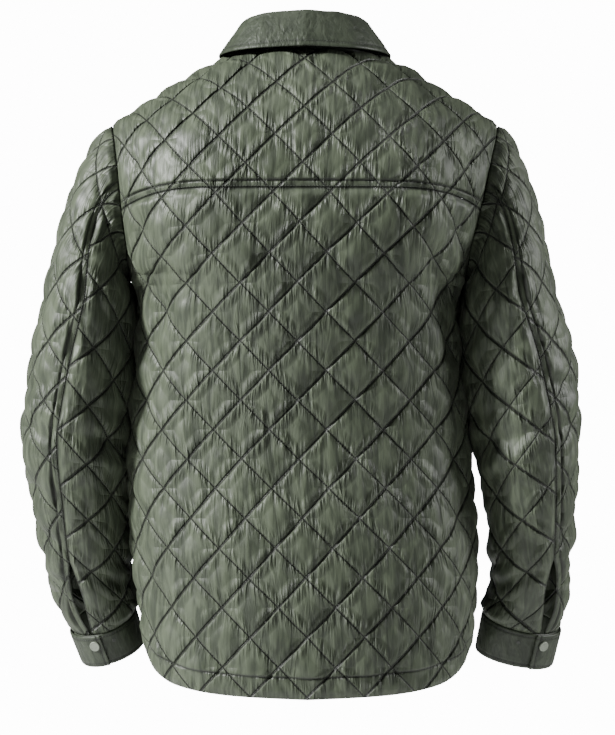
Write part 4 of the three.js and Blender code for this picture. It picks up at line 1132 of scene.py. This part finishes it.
def snap_cap(name, point, outward, size=1.0, material=SNAP_PAINT):
    """A turned snap cap with a rolled rim, a shallow dish and a raised middle."""
    radius = SNAP["radius"] * size
    profile = [(radius * r, h * size) for r, h in (
        (0, 0), (0.98, 0), (1, 0.25), (1, 0.9), (0.97, 1.25), (0.9, 1.5),
        (0.82, 1.55), (0.74, 1.4), (0.66, 1.32), (0.4, 1.45), (0, 1.52),
    )]
    segments = 48
    turn = np.linspace(0, 2 * np.pi, segments, endpoint=False)
    helper = np.array([0, 0, 1.0]) if abs(outward[2]) < 0.9 else np.array([1.0, 0, 0])
    e1 = unit(np.cross(outward, helper))
    e2 = np.cross(outward, e1)
    base = point + outward * SEAM_GAP
    vertices = [base + outward * profile[0][1]]
    for r, h in profile[1:-1]:
        vertices.extend(base + outward * h + r * (np.cos(a) * e1 + np.sin(a) * e2) for a in turn)
    vertices.append(base + outward * profile[-1][1])
    rings = len(profile) - 2
    faces = []
    for i in range(segments):
        j = (i + 1) % segments
        faces.append([0, 1 + j, 1 + i])
        for ring in range(rings - 1):
            a, b = 1 + ring * segments, 1 + (ring + 1) * segments
            faces.append([a + i, a + j, b + j, b + i])
        last = 1 + (rings - 1) * segments
        faces.append([last + i, last + j, len(vertices) - 1])
    piece = add_mesh(name, vertices, faces, material)
    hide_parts(name.replace("_cap", ""))


def outward_of(point, ahead, below, inside):
    outward = unit(np.cross(ahead - point, below - point))
    return outward if float(np.dot(outward, point - inside)) > 0 else -outward


def cuff_snaps(side):
    tab_top = CUFF["thick"] * 2 + CUFF["clear"]
    down = CUFF["snap_down"]
    kinds = (("snap", tab_top, 1.0, SNAP_PAINT), ("stud", CUFF["thick"], SNAP["stud_size"], STUD_PAINT))
    for kind, out, size, material in kinds:
        degrees = CUFFS[side][kind]
        point = cuff_point(side, degrees, down, out)
        outward = outward_of(
            point, cuff_point(side, degrees + 4, down, out),
            cuff_point(side, degrees, down + 0.3, out), cuff_point(side, degrees, down, 0),
        )
        snap_cap(f"cuff_{kind}_cap_{side}", point, outward, size, material)


COLLAR_TURNS = np.linspace(-COLLAR["ends"], COLLAR["ends"], 241)


def collar_stations(degrees):
    """The collar's neck, top and lower edge at each angle, and the directions out of them."""
    turn = np.abs(degrees)
    sign = np.where(degrees < 0, -1.0, 1.0)
    k, at = neck_place(np.minimum(178, turn))
    neck = body_point(sign * np.abs(k), at)
    top, edge = (
        np.stack([
            sign * smooth(COLLAR_STATIONS, f"{part}_x", turn),
            smooth(COLLAR_STATIONS, f"{part}_y", turn), smooth(COLLAR_STATIONS, f"{part}_z", turn),
        ], -1) for part in ("top", "fall")
    )
    outward = edge - top
    outward[..., 2] = 0
    nearest = np.linalg.norm(neck[:, None] - NECK_LOOP["point"][None], axis=-1).argmin(1)
    normal = NECK_LOOP["normal"][nearest]
    away = unit(np.cross(NECK_LOOP["tangent"][nearest], normal))
    return neck, top, edge, unit(outward), normal, away * np.sign(away[:, 2:3])


def collar_stand():
    neck, top, _, outward, normal, away = collar_stations(COLLAR_TURNS)
    share = np.linspace(0, 1, 21)[:, None, None]
    start = (neck + away * (SEAM_GAP + 0.1))[None]
    direction = unit(lerp(normal[None], outward[None], smoothstep(share * 1.6)))
    wave = 0.3 * noise(COLLAR_TURNS[None, :] / 8, share[..., 0] * 3, 71)[..., None]
    edge = rounded_sides(share, 0.8, 0.06)
    base = lerp(start, top[None], share)
    inner = base + direction * edge
    outer = base + direction * (COLLAR["thick"] - edge + wave * smoothstep(from_ends(share) / 0.2))
    piece = wall_piece("collar_stand_cloth", inner, outer, TRIM, True)
    length = run_length(base[10])[-1] * MM
    declare(piece, length)


def bezier_chain(points, count):
    """Even places along a smooth curve through a few points, for each station at once."""
    i, s = cell_of(np.linspace(0, len(points) - 1, count), len(points))
    s = s[:, None, None]
    stack = np.stack(points)
    before, after = stack[np.maximum(i - 1, 0)], stack[np.minimum(i + 2, len(points) - 1)]
    a, b = stack[i], stack[i + 1]
    return 0.5 * (
        2 * a + (b - before) * s + (2 * before - 5 * a + 4 * b - after) * s * s
        + (3 * a - before - 3 * b + after) * s * s * s
    )


def collar_fall():
    """The fall of the collar. Returns its outer points and how far each is from its free edges."""
    _, top, edge, outward, _, _ = collar_stations(COLLAR_TURNS)
    up = np.array([0, 0, 1.0])
    thick, roll = COLLAR["thick"], COLLAR["roll"]
    lift = thick + SEAM_GAP
    place = lambda out, rise: top + outward * out + up * rise
    hang = place(roll * 2 + thick, -2)
    straight = lambda t: lerp(hang, edge, t)
    inner = [place(0, SEAM_GAP), place(roll * 0.8, SEAM_GAP + 0.9), place(roll * 1.7, -0.8), hang,
             straight(0.5), straight(1)]
    outer = [place(0, lift), place(roll * 0.6, lift + 1.4), place(roll * 2.2, lift + 0.6),
             hang + outward * thick, straight(0.5) + outward * (thick + 0.5) + up * 0.5,
             straight(1) + outward * thick * 0.9 + up * 0.8]
    rows = 61
    inner, outer = bezier_chain(inner, rows), bezier_chain(outer, rows)
    down = np.linspace(0, 1, rows)[:, None]
    turn = COLLAR_TURNS[None, :]
    middle = (inner + outer) / 2
    half = outer - middle
    along = run_length(outer)
    near = np.minimum(along[-1] - along, (COLLAR["ends"] - np.abs(turn)) * 1.35)
    fat = np.sqrt(np.clip(np.minimum(near, along) / 1.6, 0.02, 1))
    lines = groove(near, COLLAR_LINE, *COLLAR_GROOVE)
    waves = 0.45 * noise(turn / 11, down * 3.2, 81) + 0.22 * noise(turn / 3.2, down * 2, 82)
    relief = (waves * smoothstep(near / 9) - lines) * smoothstep(down / 0.2)
    outer = middle + half * fat[..., None] + unit(half) * relief[..., None]
    inner = middle - half * fat[..., None]
    # Painted shade in the topstitch grooves.
    seams = lines / COLLAR_GROOVE[0]
    piece = wall_piece("collar_fall_cloth", inner, outer, TRIM, True, seams=seams)
    declare(piece, run_length(middle[30])[-1] * MM)
    return outer, near


def placket_k(reach, ats, count):
    """The k of the placket's rows at given distances from the middle of the front."""
    ks = np.linspace(-0.12, 0.12, count)
    return np.array([np.interp(reach, FRONT_CLOTH.flat(ks, at)[0], ks) for at in ats])


def placket():
    top = FRONT_CLOTH.flat(0.0, NECK["front"] + 4.0)[1]
    ats = np.linspace(NECK["front"] + 4, HEM_FRONT_ZERO - HEM["z"][0] - 0.5, 247)
    half = PLACKET["half_width"]
    reach = np.linspace(-half, half, 21)
    points = body_point(placket_k(reach, ats, 41), ats[:, None])
    normals = grid_normals(points)
    if normals[..., 1].mean() > 0:
        normals = -normals
    along = from_ends(np.arange(len(ats)), len(ats) - 1)[:, None] * 2.6
    near = np.minimum(from_ends(reach + half, 2 * half)[None, :], along)
    rounding = 0.7 * (1 - np.sqrt(np.clip(near / 1.2, 0, 1)))
    wave = 0.35 * noise(reach[None] / 7, ats[:, None] / 12, 91) * smoothstep(near / 5)
    low = WALL + PLACKET["clear"]
    lines = groove(near, PLACKET_LINE, *TRIM_GROOVE)
    lift = low + PLACKET["thick"] - rounding - lines + wave
    inner, outer = points + normals * low, points + normals * lift[..., None]
    # Painted shade in the topstitch grooves.
    seams = lines / TRIM_GROOVE[0]
    piece = wall_piece("front_placket_cloth", inner, outer, TRIM, seams=seams)
    length, width = (FRONT_CLOTH.flat(0.0, ats[-1])[1] - top) * MM, half * 2 * MM
    declare(piece, width)
    vs = FRONT_CLOTH.flat(0.0, ats)[1]
    for index in range(SNAP["count"]):
        at = float(np.interp(top + SNAP["first"] + index * SNAP["spacing"], vs, ats))
        point = body_point(0.0, at)
        ahead, below = body_point(0.01, at), body_point(0.0, at + 3)
        outward = outward_of(point, ahead, below, point + np.array([0, 50.0, 0]))
        snap_cap(f"front_snap_cap_{index + 1}", point + outward * (low + PLACKET["thick"]), outward)


STITCHES = {"vertices": [], "faces": []}


def sew(path, normals):
    """Adds one stitch after another along a path that lies on the cloth."""
    length = run_length(path)
    at_length = lambda values, place: np.array([np.interp(place, length, values[:, i]) for i in range(3)])
    sides = THREAD["sides"]
    rings = [(0.0, 0.35), (0.2, 0.9), (0.8, 0.9), (1.0, 0.35)]
    for start in np.arange(1, length[-1] - THREAD["long"], THREAD["pitch"]):
        first = len(STITCHES["vertices"])
        ends = [at_length(path, start + s * THREAD["long"]) for s, _ in rings]
        up = unit(at_length(normals, start))
        across = unit(np.cross(unit(ends[-1] - ends[0]), up))
        for (s, fat), end in zip(rings, ends):
            lift = 0.12 if 0 < s < 1 else -0.25
            for side in range(sides):
                turn = 2 * np.pi * side / sides
                offset = (np.cos(turn) * across + np.sin(turn) * up) * THREAD["thick"] / 2 * fat
                STITCHES["vertices"].append(end + up * lift + offset)
        for ring in range(len(rings) - 1):
            for side in range(sides):
                a = first + ring * sides + side
                b = first + ring * sides + (side + 1) % sides
                STITCHES["faces"].append([a, a + sides, b + sides, b])
        last = first + (len(rings) - 1) * sides
        STITCHES["faces"].append([first + side for side in range(sides)])
        STITCHES["faces"].append([last + side for side in range(sides)][::-1])


def sew_along(middle, across, inside, lift):
    """Sews along a line on a surface, given a direction across the line and a place inside."""
    normal = unit(np.cross(np.gradient(middle, axis=0), across))
    normal = normal * np.sign(dot(normal, middle - inside))
    sew(middle + normal * np.asarray(lift)[..., None], normal)


def sew_on_body(k, at, lift, kind, cloth, inside):
    u, v = cloth.flat(k, at)
    across = body_point(k, at + 2.0) - body_point(k, at - 2.0)
    sew_along(body_point(k, at), across, inside, lift + fold_depth(FOLDS[kind], u, v))


def sew_body():
    k = np.linspace(-0.985, 0.985, 400)
    for above, lift in ((1.6, 2.4), (YOKE_BAND, 2.0)):
        sew_on_body(k, yoke_seam_at(k) + above, lift, "body", BACK_CLOTH, (4, 0, -150))
    sew_on_body(k, smooth(HEM, "z", np.abs(k)) + HEM_LINE, 1.5, "body", BACK_CLOTH, (4, 0, -690))
    for sign in (-1, 1):
        k = sign * np.linspace(0.12, 0.985, 240)
        at = HEM_FRONT_ZERO - smooth(HEM, "z", np.abs(k)) - HEM_LINE
        sew_on_body(k, at, 1.5, "front", FRONT_CLOTH, (4, 0, -690))


def sew_sleeves():
    for side in ARMS:
        at = np.concatenate([np.linspace(-CAP_ROWS + 0.6, -0.2, 60), np.arange(0, SLEEVE_END - 3, 4.0)])
        radius = arm_radius(side, at)
        vent = np.degrees(vent_half(side, at) / radius)
        inside = arm_centre(side, np.maximum(at, 0))
        for offset, lift in ((1.3, 2.2), (SLEEVE_BAND, 1.9)):
            degrees = seam_angle(side, at) - vent - np.degrees(offset / radius)
            middle = sleeve_point(side, degrees, at)
            turned = (degrees - SLEEVE_PIECES["outer"]["middle"]) / 180
            u, v = SLEEVE_CLOTHS[side, "outer"].flat(turned, at)
            out = lift + fold_depth(FOLDS["sleeve"], u, v) * smoothstep(offset / FOLD_FADE)
            sew_along(middle, sleeve_point(side, degrees + 2, at) - middle, inside, out)


def sew_cuffs():
    for side in CUFFS:
        start = CUFFS[side]["tab_end"] - CUFF["overlap"]
        turned = np.linspace(6, CUFF_TURN - 6, 200)
        around = [(turned, down, cuff_layer(turned) + CUFF["thick"]) for down in (0.1, 0.9)]
        across = (CUFF_TURN - 6, np.linspace(0.12, 0.88, 30), CUFF["thick"] * 2 + CUFF["clear"])
        for turn, down, out in (*around, across):
            path = cuff_point(side, start + turn, down, out - THREAD["sunk"])
            sew(path, unit(path - cuff_point(side, start + turn, down, out - THREAD["sunk"] - 5)))


def sew_collar(outer, near):
    """Stitches the fall inside its lower edge and its two ends."""
    columns = np.arange(4, outer.shape[1] - 4)
    rows = 30 + np.abs(near[30:, columns] - COLLAR_LINE).argmin(0)
    path = outer[rows, columns]
    normal = unit(np.cross(outer[rows, columns + 1] - outer[rows, columns - 1],
                           outer[rows - 1, columns] - outer[rows, columns]))
    normal = normal * np.sign(dot(normal, path - np.array([0.0, 0.0, -20.0])))
    sew(path + normal * 0.2, normal)


def sew_placket():
    ats = np.linspace(NECK["front"] + 8, HEM_FRONT_ZERO - HEM["z"][0] - 5, 300)
    for sign in (-1, 1):
        k = placket_k(sign * (PLACKET["half_width"] - PLACKET_LINE), ats, 21)
        middle = body_point(k, ats)
        lift = WALL + PLACKET["clear"] + PLACKET["thick"] - THREAD["sunk"]
        sew_along(middle, body_point(k + 0.01, ats) - middle, middle + np.array([0, 1.0, 0]), lift)


back_panel()
yoke_panel()
for arm in ARMS:
    front_panel(arm)
    sleeve_panel(arm, "outer")
    sleeve_panel(arm, "under")
    cuff_panel(arm)
    cuff_snaps(arm)
collar_stand()
fall = collar_fall()
placket()
sew_body()
sew_sleeves()
sew_cuffs()
sew_collar(*fall)
sew_placket()
add_mesh("topstitching", STITCHES["vertices"], STITCHES["faces"], THREAD_YARN)

# The room: a pale floor, soft studio light, and a camera behind the jacket.
FLOOR_Z = -1.45
CAMERA = {"distance": 3.8, "height": -0.348, "x": -0.003, "view_height": 735 * 1.14 * MM, "sensor": 24}


def area_light(name, place, aim, size, energy):
    data = bpy.data.lights.new(name, "AREA")
    data.shape = "RECTANGLE"
    data.size, data.size_y = size
    data.energy = energy
    light = bpy.data.objects.new(name, data)
    light.location = place
    light.rotation_euler = Vector(np.subtract(aim, place)).to_track_quat("-Z", "Y").to_euler()
    bpy.context.scene.collection.objects.link(light)


bpy.ops.mesh.primitive_plane_add(size=8, location=(0, 0, FLOOR_Z))
floor = bpy.context.object
floor.name = "floor"
floor.data.materials.append(paper_material((0.86, 0.86, 0.86)))

# The paper behind looks nearly white, and gives the jacket only a little of its light.
world = bpy.data.worlds.new("studio")
world.use_nodes = True
background = world.node_tree.nodes["Background"]
background.inputs["Color"].default_value = (1.0, 1.0, 1.0, 1)
rays = world.node_tree.nodes.new("ShaderNodeLightPath")
strength = world.node_tree.nodes.new("ShaderNodeMapRange")
strength.inputs["To Min"].default_value = 0.045
strength.inputs["To Max"].default_value = 14.0
world.node_tree.links.new(rays.outputs["Is Camera Ray"], strength.inputs["Value"])
world.node_tree.links.new(strength.outputs["Result"], background.inputs["Strength"])
bpy.context.scene.world = world

area_light("key", (2.8, 1.2, 1.25), (0, 0, -0.3), (0.35, 0.5), 400)
area_light("top", (0.2, 0.6, 2.2), (0, 0, -0.3), (1.0, 0.7), 12)
area_light("rim", (-2.2, 0.1, 0.4), (0, 0, -0.35), (0.5, 1.4), 70)
area_light("fill", (-0.4, 3.4, 0.2), (0, 0, -0.35), (1.2, 1.2), 1.5)

camera_data = bpy.data.cameras.new("camera")
camera_data.sensor_fit = "VERTICAL"
camera_data.sensor_height = CAMERA["sensor"]
camera_data.lens = CAMERA["sensor"] * CAMERA["distance"] / CAMERA["view_height"]
camera = bpy.data.objects.new("camera", camera_data)
camera.location = (CAMERA["x"], CAMERA["distance"], CAMERA["height"])
camera.rotation_euler = (math.pi / 2, 0, math.pi)
bpy.context.scene.collection.objects.link(camera)
bpy.context.scene.camera = camera
